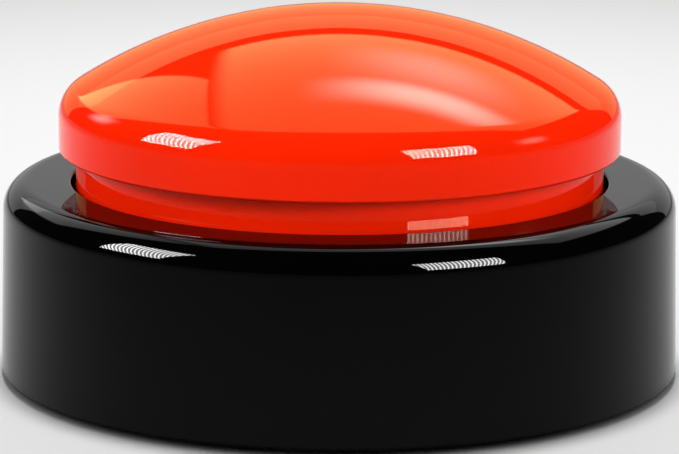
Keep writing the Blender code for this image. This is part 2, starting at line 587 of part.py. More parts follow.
# Battery door with its screw well, on its own lift axis
door_middle = (BAY_FRONT + BAY_BACK) / 2
door_axis = bpy.data.objects.new("door_axis", None)
door_axis.location = (0.0, door_middle, 0.0)
parts.objects.link(door_axis)
door_half = BAY_HALF + DOOR_LEDGE - SEAT_GAP
door_shape = bmesh.new()
block(door_shape, (-door_half, BAY_FRONT - DOOR_LEDGE + SEAT_GAP - door_middle, Z_BASE),
      (door_half, DOOR_BACK - door_middle, Z_DOOR_TOP))
battery_door = add_part("battery_door", mesh_from(door_shape, "battery_door"), black_abs)
battery_door.parent = door_axis
door_well = bmesh.new()
well_place = (0.0, DOOR_BOSS_Y)
rod(door_well, well_place, Z_BASE, door_boss_top, DOOR_BOSS_RADIUS)
combine(battery_door, tool("door_well", door_well), 'UNION')
door_cuts = bmesh.new()
rod(door_cuts, well_place, Z_BASE - THROUGH, door_seat, WELL_RADIUS)
combine(battery_door, tool("door_cuts", door_cuts), 'DIFFERENCE')
door_hole = bmesh.new()
rod(door_hole, well_place, Z_BASE - THROUGH, door_boss_top + THROUGH, SCREW_HOLE)
combine(battery_door, tool("door_hole", door_hole), 'DIFFERENCE')
door_screw = pan_screw("door_screw", DOOR_SCREW_LENGTH, zinc_steel,
                       (0.0, DOOR_BOSS_Y - door_middle, door_seat - SEAT_GAP))
door_screw.parent = door_axis

# Two cells, head to tail, with the plus end of the first towards +X
cell_edge = CELL_CLEARANCE
body_end = CELL_LENGTH - CELL_NUB_LENGTH
cell_profile = [(0.0, CELL_LENGTH), (CELL_NUB_RADIUS, CELL_LENGTH), (CELL_NUB_RADIUS, body_end),
                (CELL_RADIUS - cell_edge, body_end), (CELL_RADIUS, body_end - cell_edge),
                (CELL_RADIUS, cell_edge), (CELL_RADIUS - cell_edge, 0.0), (0.0, 0.0)]
plus_face = CONTACT_FACE - SEAT_GAP
for i, (row, side) in enumerate(zip(CELL_ROWS, (1, -1)), 1):
    cell = turned(f"battery_{i}", cell_profile, cell_wrap, 2 * SCREW_STEPS,
                  place=(side * (plus_face - CELL_LENGTH), row, Z_CELL))
    cell.rotation_euler = (0.0, side * math.pi / 2, 0.0)

# Contacts: a bridge across both cells at -X, two tagged plates at +X, a coil on each minus end
contact_low = Z_CELL - CONTACT_WIDTH / 2
contact_high = Z_CELL + CONTACT_WIDTH / 2
bridge_shape = bmesh.new()
block(bridge_shape, (-CONTACT_FACE - CONTACT_THICKNESS, CELL_ROWS[0] - CONTACT_WIDTH / 2, contact_low),
      (-CONTACT_FACE, CELL_ROWS[1] + CONTACT_WIDTH / 2, contact_high))
add_part("contact_bridge", mesh_from(bridge_shape, "contact_bridge"), nickel_strip)
tag_end = BAY_HALF + BAY_WALL + CONTACT_TAG
for i, row in enumerate(CELL_ROWS, 1):
    plate_shape = bmesh.new()
    block(plate_shape, (CONTACT_FACE, row - CONTACT_WIDTH / 2, contact_low),
          (CONTACT_FACE + CONTACT_THICKNESS, row + CONTACT_WIDTH / 2, contact_high))
    plate = add_part(f"contact_plate_{i}", mesh_from(plate_shape, f"contact_plate_{i}"), nickel_strip)
    tag_shape = bmesh.new()
    tag_start = CONTACT_FACE + CONTACT_THICKNESS / 2
    block(tag_shape, (tag_start, row - tag_half, Z_CELL - CONTACT_THICKNESS / 2),
          (tag_end, row + tag_half, Z_CELL + CONTACT_THICKNESS / 2))
    combine(plate, tool(f"contact_tag_{i}", tag_shape), 'UNION')
coil_start = SEAT_GAP + CONTACT_SPRING_WIRE / 2
coil_length = CONTACT_SPRING_LENGTH - CONTACT_SPRING_WIRE
coil_points = helix(CONTACT_SPRING_RADIUS, CONTACT_SPRING_TAPER, coil_length,
                    CONTACT_SPRING_TURNS, SPRING_POINTS)
for i, (row, side) in enumerate(zip(CELL_ROWS, (-1, 1)), 1):
    coil = tube(f"contact_spring_{i}", coil_points, CONTACT_SPRING_WIRE / 2, spring_steel,
                (side * (CONTACT_FACE - coil_start), row, Z_CELL))
    coil.rotation_euler = (0.0, -side * math.pi / 2, 0.0)
print("contact spring gap", least_gap(coil_points, CONTACT_SPRING_WIRE, SPRING_POINTS))

# Loudspeaker facing the grille: pressed basket, paper cone and magnet
z_flange = Z_COVER_TOP + SEAT_GAP
z_basket = z_flange + SPEAKER_DEPTH
basket_r = MAGNET_RADIUS + SEAT_GAP
mouth_r = SPEAKER_RADIUS - SPEAKER_FLANGE
sheet_r = SPEAKER_SHEET
frame_profile = [(0.0, z_basket), (basket_r, z_basket), (mouth_r, z_flange + SPEAKER_SHEET),
                 (SPEAKER_RADIUS, z_flange + SPEAKER_SHEET), (SPEAKER_RADIUS, z_flange),
                 (mouth_r - sheet_r, z_flange), (basket_r - sheet_r, z_basket - SPEAKER_SHEET),
                 (0.0, z_basket - SPEAKER_SHEET)]
speaker_place = (0.0, SPEAKER_Y, 0.0)
turned("speaker_frame", frame_profile, pressed_steel, INNER_STEPS, place=speaker_place)
cone_edge = mouth_r - sheet_r - 3 * SEAT_GAP
cone_throat = basket_r - sheet_r - 3 * SEAT_GAP
cone_top = z_basket - SPEAKER_SHEET - SEAT_GAP
cone_profile = [(0.0, cone_top), (cone_throat, cone_top), (cone_edge, z_flange + SEAT_GAP),
                (cone_edge, z_flange), (cone_edge - sheet_r, z_flange),
                (cone_throat - sheet_r, cone_top - SPEAKER_SHEET), (0.0, cone_top - SPEAKER_SHEET)]
turned("speaker_cone", cone_profile, black_paper, INNER_STEPS, place=speaker_place)
magnet_low = z_basket + SEAT_GAP
magnet_edge = MAGNET_RADIUS - SEAT_GAP
magnet_profile = [(0.0, magnet_low + MAGNET_HEIGHT), (magnet_edge, magnet_low + MAGNET_HEIGHT),
                  (MAGNET_RADIUS, magnet_low + MAGNET_HEIGHT - SEAT_GAP), (MAGNET_RADIUS, magnet_low),
                  (0.0, magnet_low)]
turned("speaker_magnet", magnet_profile, ferrite, INNER_STEPS, place=speaker_place)

# Leads: up through the deck from loudspeaker and contact tags, then over to the board
z_lead = Z_BOARD_TOP + SEAT_GAP + LEAD_RADIUS
z_loop = Z_DECK_TOP + 5 * LEAD_RADIUS
z_run = Z_DECK_TOP + SEAT_GAP + LEAD_RADIUS
slope = (z_basket - z_flange - SPEAKER_SHEET) / (mouth_r - basket_r)
lead_foot = z_basket - slope * (speaker_lead_x - LEAD_RADIUS - basket_r) + SEAT_GAP
for i, (side, sleeve) in enumerate(((1, red_pvc), (-1, black_pvc)), 1):
    x = side * speaker_lead_x
    landing = BOARD_FRONT + 4 * LEAD_RADIUS
    route = [(x, SPEAKER_Y, lead_foot), (x, SPEAKER_Y, (lead_foot + Z_DECK) / 2), (x, SPEAKER_Y, Z_DECK_TOP),
             (x, (SPEAKER_Y + BOARD_FRONT) / 2, z_loop + 2 * LEAD_RADIUS), (x, landing, z_lead)]
    tube(f"speaker_wire_{i}", smooth_route(route), LEAD_RADIUS, sleeve)
lead_low = Z_CELL + CONTACT_THICKNESS / 2 + SEAT_GAP
for i, (row, sleeve) in enumerate(zip(CELL_ROWS, (red_pvc, black_pvc)), 1):
    x = battery_lead_x
    board_edge = BOARD_HALF + 4 * LEAD_RADIUS
    landing_y = CELL_ROWS[0] + 6 * LEAD_RADIUS * (i - 1)
    leave = Z_DECK_TOP - LEAD_RADIUS
    bend = z_run - leave
    aside = (landing_y - row) * bend / (x - board_edge)
    route = [(x, row, lead_low), (x, row, (lead_low + Z_DECK) / 2), (x, row, leave),
             (x - bend, row + aside, z_run),
             ((x + board_edge) / 2, (row + landing_y) / 2, (z_run + z_lead) / 2),
             (board_edge, landing_y, z_lead), (BOARD_HALF - 4 * LEAD_RADIUS, landing_y, z_lead)]
    tube(f"battery_wire_{i}", smooth_route(route), LEAD_RADIUS, sleeve)
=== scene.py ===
"""Looks of a quiz buzzer: a glossy red push cap in a glossy black base, with its works inside.

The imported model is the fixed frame, in metres with +Z up. Each section dresses one piece or one
group of like pieces, in the order in which the buzzer is put together, from the shell downwards.
"""
import math

import bmesh
import bpy
import numpy as np
from mathutils import Matrix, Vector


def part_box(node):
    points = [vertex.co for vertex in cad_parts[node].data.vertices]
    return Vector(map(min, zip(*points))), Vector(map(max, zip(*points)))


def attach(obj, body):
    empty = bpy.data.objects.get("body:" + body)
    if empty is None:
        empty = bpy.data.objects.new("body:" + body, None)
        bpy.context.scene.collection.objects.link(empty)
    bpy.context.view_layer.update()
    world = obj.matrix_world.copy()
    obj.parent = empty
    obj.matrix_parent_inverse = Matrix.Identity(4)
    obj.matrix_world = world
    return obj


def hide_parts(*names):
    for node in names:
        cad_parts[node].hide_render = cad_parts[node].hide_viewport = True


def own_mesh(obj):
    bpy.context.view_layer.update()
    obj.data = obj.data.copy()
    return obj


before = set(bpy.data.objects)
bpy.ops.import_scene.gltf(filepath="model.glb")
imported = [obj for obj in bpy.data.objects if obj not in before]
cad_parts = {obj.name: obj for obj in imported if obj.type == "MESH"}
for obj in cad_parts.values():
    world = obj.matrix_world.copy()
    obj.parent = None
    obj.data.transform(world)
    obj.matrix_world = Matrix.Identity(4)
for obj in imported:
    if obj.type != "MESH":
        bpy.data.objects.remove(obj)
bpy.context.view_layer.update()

# Base shell: the black upper half of the housing, one injection moulding in high-gloss ABS.
# Its wall leans in a little so that it leaves the mould, rolls over into a flat ring, and the
# round opening in that ring lets the neck of the cap through.
MM = 0.001
TURN_STEPS = 256
MERGE_REACH = 0.0005 * MM
SOFT_FOLD, CRISP_FOLD, PLANE_FOLD = 35.0, 10.0, 0.05
ABS_IOR = 1.53
shell_low, shell_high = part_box("base_shell")
wall_lean, shell_wall, shell_edge = 0.6 * MM, 2.2 * MM, 3.4 * MM
ring_width, moulded_edge = 8.9 * MM, 0.35 * MM
shell_foot_radius = shell_high[0]
shell_top_radius = shell_foot_radius - wall_lean
opening_radius = shell_top_radius - ring_width
ring_under = shell_high[2] - shell_wall


def rounded_profile(corners, arc_steps=6):
    """Closed profile through corners (r, z, radius): the point where a corner's arc starts lies
    radius / tan(half the corner's angle) before it, and the arc runs on a circle that touches both
    sides. A point close to each end of an arc keeps the flats beside it flat when shaded."""
    corners = np.asarray(corners, dtype=float)
    profile = []
    for i, (r, z, radius) in enumerate(corners):
        corner = np.array((r, z))
        back = corners[i - 1, :2] - corner
        ahead = corners[(i + 1) % len(corners), :2] - corner
        back /= np.linalg.norm(back)
        ahead /= np.linalg.norm(ahead)
        half = math.acos(np.clip(back @ ahead, -1.0, 1.0)) / 2.0
        middle = back + ahead
        middle /= np.linalg.norm(middle)
        centre = corner + middle * radius / math.sin(half)
        reach = radius / math.tan(half)
        start = corner + back * reach - centre
        end = corner + ahead * reach - centre
        share = np.linspace(0.0, 1.0, arc_steps + 1)[:, None]
        sweep = math.pi - 2.0 * half
        bend = (np.sin((1.0 - share) * sweep) * start + np.sin(share * sweep) * end) / math.sin(sweep)
        flat = 0.12 * radius
        profile += [corner + back * (reach + flat), *(centre + bend), corner + ahead * (reach + flat)]
    return np.array(profile)


def once_round(steps):
    """Angles spread evenly over one turn."""
    return np.linspace(0.0, 2.0 * math.pi, steps, endpoint=False)


def strip_faces(rows, columns, closed=False):
    """Quads between neighbouring rows of a grid whose columns run round: closed also joins the last
    row to the first."""
    row = np.arange(rows if closed else rows - 1)[:, None]
    here = np.arange(columns)
    there = (here + 1) % columns
    after = (row + 1) % rows * columns
    row = row * columns
    return np.stack([row + here, row + there, after + there, after + here], axis=-1).reshape(-1, 4)


def round_grid(radius, height, turn, place=(0.0, 0.0), closed=False):
    """Rows round an upright axis at place (x, y): a row's point at turn t lies at
    (x + r cos t, y + r sin t, h), where r and h are those of the row, or of the row and the turn."""
    x = place[0] + radius * np.cos(turn)
    y = place[1] + radius * np.sin(turn)
    points = np.stack(np.broadcast_arrays(x, y, height), axis=-1)
    return points.reshape(-1, 3), strip_faces(len(radius), len(turn), closed)


def turned_grid(profile, steps=TURN_STEPS, closed=True):
    """Surface of revolution: every profile point (r, z) goes once round the axis."""
    radius, height = np.asarray(profile).T[:, :, None]
    return round_grid(radius, height, once_round(steps), closed=closed)


def rod_grid(radius, low, high, soft=0.15 * MM, steps=64):
    """A solid round rod between two heights, with both its edges rounded by soft."""
    corners = [(0.0, low, 0.0), (radius, low, soft), (radius, high, soft), (0.0, high, 0.0)]
    return turned_grid(rounded_profile(corners), steps, closed=False)


def placed(grid, x, y):
    """A grid moved sideways by (x, y)."""
    points, faces = grid
    return points + (x, y, 0.0), faces


def rods_at(spots, *rod):
    """The same rod at each of the places (x, y)."""
    return [placed(rod_grid(*rod), *spot) for spot in spots]


def ring_spots(radius, first, count=4):
    """Places (x, y) spread evenly on a circle, from the angle first in degrees."""
    turn = np.radians(first + 360.0 / count * np.arange(count))
    return np.stack([radius * np.cos(turn), radius * np.sin(turn)], axis=-1)


def put_in_scene(name, data):
    """A new object in the scene, for a mesh, a lamp or a camera."""
    thing = bpy.data.objects.new(name, data)
    bpy.context.scene.collection.objects.link(thing)
    return thing


def new_piece(name, grids, material, sharp=SOFT_FOLD):
    """One mesh object from (points, faces) grids: doubles merged, faces outwards, and shaded smooth
    apart from folds above sharp degrees."""
    mesh = bpy.data.meshes.new(name)
    starts = np.cumsum([0] + [len(points) for points, faces in grids])
    all_points = np.concatenate([points for points, faces in grids])
    all_faces = np.concatenate([faces + start for start, (points, faces) in zip(starts, grids)])
    mesh.from_pydata(all_points, [], all_faces.tolist())
    shape = bmesh.new()
    shape.from_mesh(mesh)
    bmesh.ops.remove_doubles(shape, verts=shape.verts, dist=MERGE_REACH)
    bmesh.ops.recalc_face_normals(shape, faces=shape.faces)
    shape.to_mesh(mesh)
    shape.free()
    mesh.shade_smooth()
    mesh.set_sharp_from_angle(angle=math.radians(sharp))
    mesh.materials.append(material)
    return put_in_scene(name, mesh)


def combine(piece, grids, operation, flats=False):
    """Joins closed forms to a piece, or cuts them from it, with a Boolean that is applied at once. It is
    worked out in millimetres, because in metres the finest edges run together. With flats, the faces of
    each plane are merged first, and folds above ten degrees stay crisp, so that its planes shade flat."""
    guide = new_piece("guide", grids, piece.data.materials[0])
    change = piece.modifiers.new("change", "BOOLEAN")
    change.operation, change.solver, change.object = operation, "EXACT", guide
    before = piece.data
    for mesh in (before, guide.data):
        mesh.transform(Matrix.Scale(1.0 / MM, 4))
        shape = bmesh.new()
        shape.from_mesh(mesh)
        if flats:
            bmesh.ops.remove_doubles(shape, verts=shape.verts, dist=MERGE_REACH / MM)
            bmesh.ops.dissolve_degenerate(shape, edges=shape.edges, dist=MERGE_REACH / MM)
            bmesh.ops.dissolve_limit(shape, angle_limit=math.radians(PLANE_FOLD), verts=shape.verts,
                                     edges=shape.edges)
        shape.to_mesh(mesh)
        shape.free()
    after = bpy.data.meshes.new_from_object(piece.evaluated_get(bpy.context.evaluated_depsgraph_get()))
    after.transform(Matrix.Scale(MM, 4))
    piece.modifiers.clear()
    piece.data = after
    bpy.data.meshes.remove(before)
    bpy.data.meshes.remove(guide.data)
    after.name = piece.name
    after.shade_smooth()
    after.set_sharp_from_angle(angle=math.radians(CRISP_FOLD if flats else SOFT_FOLD))


def colour(code):
    """An sRGB hex code as linear RGBA: c / 12.92 below 0.04045, else ((c + 0.055) / 1.055) ^ 2.4."""
    channels = [int(code[i:i + 2], 16) / 255.0 for i in (1, 3, 5)]
    return [c / 12.92 if c <= 0.04045 else ((c + 0.055) / 1.055) ** 2.4 for c in channels] + [1.0]


def feed(node, **inputs):
    """Sets a node's sockets, as values or as links. The name i6 stands for the socket of that number."""
    for name, value in inputs.items():
        socket = node.inputs[int(name[1:]) if name[1:].isdigit() else name.replace("_", " ")]
        if isinstance(value, bpy.types.NodeSocket):
            node.id_data.links.new(value, socket)
        else:
            socket.default_value = value
    return node


def add_node(tree, kind, settings=None, **inputs):
    """Adds one node: settings are its own properties, inputs its sockets."""
    node = tree.nodes.new(kind)
    for name, value in (settings or {}).items():
        setattr(node, name, value)
    return feed(node, **inputs)


def new_material(name):
    """A node material, its tree, its Principled BSDF, and the Object coordinates for its patterns."""
    material = bpy.data.materials.new(name)
    material.use_nodes = True
    tree = material.node_tree
    place = add_node(tree, "ShaderNodeTexCoord").outputs["Object"]
    return material, tree, tree.nodes["Principled BSDF"], place


def lay_finish(shader, tones, tone, shine, dull, skin, relief, **constants):
    """Dresses a shader from three patterns. The pattern tone mixes the two tones, dull between shine[0]
    and shine[1] gives a roughness from shine[2] to shine[3], and relief raises the skin by its strength
    and depth. Constants are set on the sockets themselves."""
    tree = shader.id_data
    hue = add_node(tree, "ShaderNodeMix", {"data_type": "RGBA"}, Factor=tone, i6=colour(tones[0]),
                   i7=colour(tones[1]))
    rough = add_node(tree, "ShaderNodeMapRange", Value=dull, From_Min=shine[0], From_Max=shine[1],
                     To_Min=shine[2], To_Max=shine[3])
    bump = add_node(tree, "ShaderNodeBump", Strength=skin[0], Distance=skin[1], Height=relief)
    feed(shader, Base_Color=hue.outputs[2], Roughness=rough.outputs[0], Normal=bump.outputs[0], **constants)


def gloss_abs(name, base, shade, roughness, specular, tint):
    """High-gloss moulded ABS: clear, sharp reflections with a slow ripple where the skin has sunk a
    little in cooling, and a film of handling that dulls it in soft patches about 12 mm across."""
    material, tree, shader, place = new_material(name)
    melt = add_node(tree, "ShaderNodeTexNoise", Vector=place, Scale=1.0 / (9.0 * MM), Detail=2.0)
    film = add_node(tree, "ShaderNodeTexNoise", Vector=place, Scale=1.0 / (12.0 * MM), Detail=4.0)
    sink = add_node(tree, "ShaderNodeTexNoise", Vector=place, Scale=1.0 / (16.0 * MM), Detail=1.0)
    lay_finish(shader, (base, shade), melt.outputs["Fac"], (0.35, 0.75, roughness, roughness * 1.8),
               film.outputs["Fac"], (0.02, 1.0 * MM), sink.outputs["Fac"], IOR=ABS_IOR,
               Specular_IOR_Level=specular, Specular_Tint=colour(tint))
    return material


def fit(piece, body, slot, *nodes):
    """Says which body a piece moves with and hides the CAD nodes it stands for; the slot of its finish is not
    used.
    """
    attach(piece, body)
    if nodes:
        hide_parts(*nodes)


black_abs = gloss_abs("black_gloss_abs", "#010101", "#030303", 0.02, 0.075, "#FFFFFF")
shell_profile = rounded_profile([
    (shell_foot_radius, shell_low[2], moulded_edge),
    (shell_top_radius, shell_high[2], shell_edge),
    (opening_radius, shell_high[2], moulded_edge),
    (opening_radius, ring_under, moulded_edge),
    (shell_top_radius - shell_wall, ring_under, moulded_edge),
    (shell_foot_radius - shell_wall, shell_low[2], moulded_edge)], arc_steps=10)
base_shell = new_piece("base_shell_moulding", [turned_grid(shell_profile)], black_abs)
boss_ring, boss_radius, boss_foot, boss_pilot_top = 38.8 * MM, 3.0 * MM, 5.3 * MM, 13.4 * MM
post_ring, post_radius, post_foot, post_pilot_top = 38.6 * MM, 2.8 * MM, 16.6 * MM, 21.4 * MM
post_turn = 22.5
pilot_radius, beyond = 1.5 * MM, 1.0 * MM
in_ring = (ring_under + shell_high[2]) / 2.0
boss_spots = ring_spots(boss_ring, 0.0)
post_spots = ring_spots(post_ring, post_turn)
combine(base_shell, rods_at(boss_spots, boss_radius, boss_foot, in_ring)
        + rods_at(post_spots, post_radius, post_foot, in_ring), "UNION")
combine(base_shell, rods_at(boss_spots, pilot_radius, boss_foot - beyond, boss_pilot_top)
        + rods_at(post_spots, pilot_radius, post_foot - beyond, post_pilot_top), "DIFFERENCE")
fit(base_shell, "base", "base_plastic", "base_shell")

# Dome cap: the orange-red push cap, also gloss ABS from a polished mould. The dome, the rounded
# shoulder, the upright rim and the narrower neck are one moulding, two millimetres thick.
FOUR = (1, 2, 3, 4)
cap_low, cap_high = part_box("dome_cap")
cap_wall, rim_step, rim_lift, rim_height = 2.0 * MM, 2.2 * MM, 4.1 * MM, 4.6 * MM
dome_radius, shoulder_radius, lip, fine = 65.6 * MM, 4.6 * MM, 0.5 * MM, 0.02 * MM
rim_radius = cap_high[0]
neck_radius = rim_radius - rim_step
neck_bore = neck_radius - cap_wall
rim_bottom = shell_high[2] + rim_lift
shoulder_r, shoulder_z = rim_radius - shoulder_radius, rim_bottom + rim_height
dome_z = shoulder_z - math.sqrt((dome_radius - shoulder_radius) ** 2 - shoulder_r ** 2)
blend_angle = math.degrees(math.atan2(shoulder_z - dome_z, shoulder_r))
bore_angle = math.degrees(math.acos(neck_bore / (dome_radius - cap_wall)))


def arc(middle_r, middle_z, radius, start, end, steps):
    """Points (r, z) on a circle: middle + radius (cos a, sin a) for angles a from start to end."""
    angle = np.radians(np.linspace(start, end, steps + 1))
    return np.stack([middle_r + radius * np.cos(angle), middle_z + radius * np.sin(angle)], axis=-1)


def node_box(node):
    """A CAD node's lowest corner, its highest corner and the middle between them, as arrays."""
    low, high = (np.array(corner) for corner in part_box(node))
    return low, high, (low + high) / 2.0


cap_profile = np.concatenate([
    arc(0.0, dome_z, dome_radius, 90.0, blend_angle, 48),
    arc(shoulder_r, shoulder_z, shoulder_radius, blend_angle, 0.0, 24)[1:],
    [(rim_radius, shoulder_z - fine), (rim_radius, rim_bottom + lip + fine)],
    arc(rim_radius - lip, rim_bottom + lip, lip, 0.0, -90.0, 6),
    [(rim_radius - lip - fine, rim_bottom), (neck_radius + lip + fine, rim_bottom)],
    arc(neck_radius + lip, rim_bottom - lip, lip, 90.0, 180.0, 6),
    [(neck_radius, rim_bottom - lip - fine), (neck_radius, cap_low[2] + lip + fine)],
    arc(neck_radius - lip, cap_low[2] + lip, lip, 0.0, -90.0, 4),
    arc(neck_bore + lip, cap_low[2] + lip, lip, -90.0, -180.0, 4),
    arc(0.0, dome_z, dome_radius - cap_wall, bore_angle, 90.0, 24)])
cap_profile[[0, -1], 0] = 0.0
red_abs = gloss_abs("orange_red_gloss_abs", "#FF2603", "#FA2302", 0.02, 0.14, "#FFF5C8")
dome_cap = new_piece("dome_cap_moulding", [turned_grid(cap_profile, closed=False)], red_abs)
cap_spots = [node_box(f"carrier_screw_{i}")[2][:2] for i in FOUR]
cap_boss_foot, cap_boss_top, cap_pilot_top = 27.8 * MM, 42.6 * MM, 34.5 * MM
combine(dome_cap, rods_at(cap_spots, boss_radius, cap_boss_foot, cap_boss_top), "UNION")
combine(dome_cap, rods_at(cap_spots, pilot_radius, cap_boss_foot - beyond, cap_pilot_top), "DIFFERENCE")
fit(dome_cap, "button", "cap_plastic", "dome_cap")

# Button carrier and its screws: a cup of grey ABS with a fine spark-eroded skin, pushed up into the
# neck. Four zinc-plated self-tapping screws hold it to the bosses in the cap, and its lugs catch
# under the ring of the base.
SCREW_FOLD = 40.0


def matt_abs(name, base, shade, grain):
    """Moulded ABS from a spark-eroded mould: a matt skin of pits that scatters the light, with slow
    changes of tone where the melt has flowed. The pits are grain metres across, a few times as coarse
    as real ones, which are too fine to show."""
    material, tree, shader, place = new_material(name)
    flow = add_node(tree, "ShaderNodeTexNoise", Vector=place, Scale=1.0 / (8.0 * MM), Detail=2.0)
    pits = add_node(tree, "ShaderNodeTexNoise", Vector=place, Scale=1.0 / grain, Detail=3.0).outputs["Fac"]
    lay_finish(shader, (base, shade), flow.outputs["Fac"], (0.0, 1.0, 0.42, 0.62), pits,
               (0.35, 0.06 * MM), pits, IOR=ABS_IOR)
    return material


def bright_metal(name, base, shade, roughness, grain):
    """Bare or plated metal: mirror-like under handling marks that make the shine uneven, with a faint
    change of tone in the plating. The marks are grain metres across, coarser than the finest real ones,
    which don't show."""
    material, tree, shader, place = new_material(name)
    marks = add_node(tree, "ShaderNodeTexNoise", Vector=place, Scale=1.0 / grain, Detail=4.0).outputs["Fac"]
    lay_finish(shader, (base, shade), marks, (0.3, 0.7, roughness * 0.75, roughness * 1.35), marks,
               (0.08, 0.03 * MM), marks, Metallic=1.0)
    return material


def dress(material, node):
    """Gives a CAD node that keeps its own shape a finished material."""
    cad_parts[node].material_slots[0].material = material


def screw_grid(low, high, middle):
    """A pan-head screw pointing up, as rows along its outline by turns round its axis.
    Head: z rises with (r / head radius)^2, and a cross of two smooth slots is sunk into it.
    Shank: radius = core + ridge x triangle wave of (z / pitch - turn), fading to a point."""
    head_radius, head_height, head_crown, head_roll = 2.3 * MM, 1.5 * MM, 0.35 * MM, 0.3 * MM
    core, ridge, pitch, point = 0.95 * MM, 0.25 * MM, 0.8 * MM, 1.6 * MM
    slot_half, slot_reach, slot_depth = 0.32 * MM, 1.35 * MM, 0.8 * MM
    turn = once_round(72)
    face = np.linspace(0.0, 1.0, 17)[:, None]
    r_face = face * (head_radius - head_roll)
    x, y = np.abs(r_face * np.cos(turn)), np.abs(r_face * np.sin(turn))
    sunk = np.clip((slot_half - np.minimum(x, y)) / (0.25 * slot_half), 0.0, 1.0)
    sunk *= np.clip((slot_reach - np.maximum(x, y)) / (0.45 * slot_reach), 0.0, 1.0)
    z_face = low[2] + head_crown * face ** 2 + slot_depth * sunk
    bearing = low[2] + head_height
    side = np.array([(head_radius - 0.06 * MM, low[2] + 0.55 * MM), (head_radius, low[2] + 0.8 * MM),
                     (head_radius, bearing - 0.1 * MM), (head_radius - 0.1 * MM, bearing),
                     (core + 0.2 * MM, bearing), (core, bearing + 0.15 * MM)])
    rise = np.linspace(bearing + 0.25 * MM, high[2], 64)[:, None]
    wave = np.abs(2.0 * ((rise / pitch - turn / (2.0 * math.pi)) % 1.0) - 1.0)
    fade = np.clip((high[2] - rise) / point, 0.0, 1.0)
    r_shank = core * (0.25 + 0.75 * fade) + ridge * np.maximum(2.0 * wave - 1.0, 0.0) * fade
    around = np.ones_like(turn)
    radius = np.concatenate([r_face * around, side[:, :1] * around, r_shank, 0.0 * r_shank[:1]])
    height = np.concatenate([z_face, side[:, 1:] * around, rise * around, high[2] * around[None]])
    return round_grid(radius, height, turn, middle)


def add_screws(body, *nodes):
    """One finished screw in the place of each CAD screw."""
    for node in nodes:
        screw = new_piece(f"{node}_turned", [screw_grid(*node_box(node))], zinc_steel, SCREW_FOLD)
        fit(screw, body, "screw_steel", node)


grey_abs = matt_abs("grey_spark_eroded_abs", "#3C3C3F", "#343437", 0.3 * MM)
zinc_steel = bright_metal("zinc_plated_steel", "#C4C6C9", "#AEB1B5", 0.3, 0.6 * MM)
dress(grey_abs, "button_carrier")
add_screws("button", *[f"carrier_screw_{i}" for i in FOUR])

# Return springs: four compression springs of bright spring wire on pegs of the deck and the carrier.
# Each is wound with a closed coil at both ends, and shortens as the cap goes down.
WIRE_FOLD = 60.0
spring_wire, spring_turns, spring_closed = 0.7 * MM, 6.0, 1.0


def heading(line):
    """The unit vector along a line of points, at each of them."""
    ahead = np.gradient(line, axis=0)
    return ahead / np.linalg.norm(ahead, axis=1)[:, None]


def tube_grid(line, out, radius, sides):
    """A round section carried along a line of points: its point at angle a is the line's point plus
    radius (cos a x out + sin a x (heading x out)), and both ends close in a point."""
    across = np.cross(heading(line), out)
    angle = once_round(sides)[:, None]
    tube = line[:, None] + radius * (np.cos(angle) * out[:, None] + np.sin(angle) * across[:, None])
    ends = np.repeat(line[[0, -1]][:, None], sides, axis=1)
    tube = np.concatenate([ends[:1], tube, ends[1:]])
    return tube.reshape(-1, 3), strip_faces(len(tube), sides)


def coil_grid(place, axis, radii, length, turns, wire, closed, sides=12, per_turn=40):
    """A wire along a helix: at share s of its turns the radius goes from radii[0] to radii[1], and the
    climb is slow, nine tenths of a wire a turn, over the closed share of a turn at each end."""
    share = np.linspace(0.0, 1.0, int(turns * per_turn) + 1)
    turn = share * turns * 2.0 * math.pi
    slow, start = closed / turns, 0.9 * closed * wire / length
    climb = np.interp(share, [0.0, slow, 1.0 - slow, 1.0], [0.0, start, 1.0 - start, 1.0])
    radius = radii[0] + (radii[1] - radii[0]) * share
    along = np.asarray(axis, dtype=float)
    first = np.roll(along, 1)
    second = np.cross(along, first)
    out = np.cos(turn)[:, None] * first + np.sin(turn)[:, None] * second
    centre = np.asarray(place) + radius[:, None] * out + (climb * length)[:, None] * along
    return tube_grid(centre, out, wire / 2.0, sides)


spring_steel = bright_metal("bright_spring_steel", "#B9BBBF", "#9A9DA2", 0.22, 0.4 * MM)
for i in FOUR:
    low, high, foot = node_box(f"return_spring_{i}")
    foot[2] = low[2] + spring_wire / 2.0
    mean = (high[0] - low[0] - spring_wire) / 2.0
    tall = high[2] - low[2]
    coil = coil_grid(foot, (0, 0, 1), (mean, mean), tall - spring_wire, spring_turns, spring_wire,
                     spring_closed)
    spring = new_piece(f"return_spring_{i}_wound", [coil], spring_steel, WIRE_FOLD)
    fit(spring, "base", "spring_steel", f"return_spring_{i}")
    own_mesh(spring)

# Inner deck and its screws: a grey ABS plate across the shell, held to four posts, that carries the
# springs and the circuit board and lets the leads through.
dress(grey_abs, "inner_deck")
add_screws("base", *[f"deck_screw_{i}" for i in FOUR])

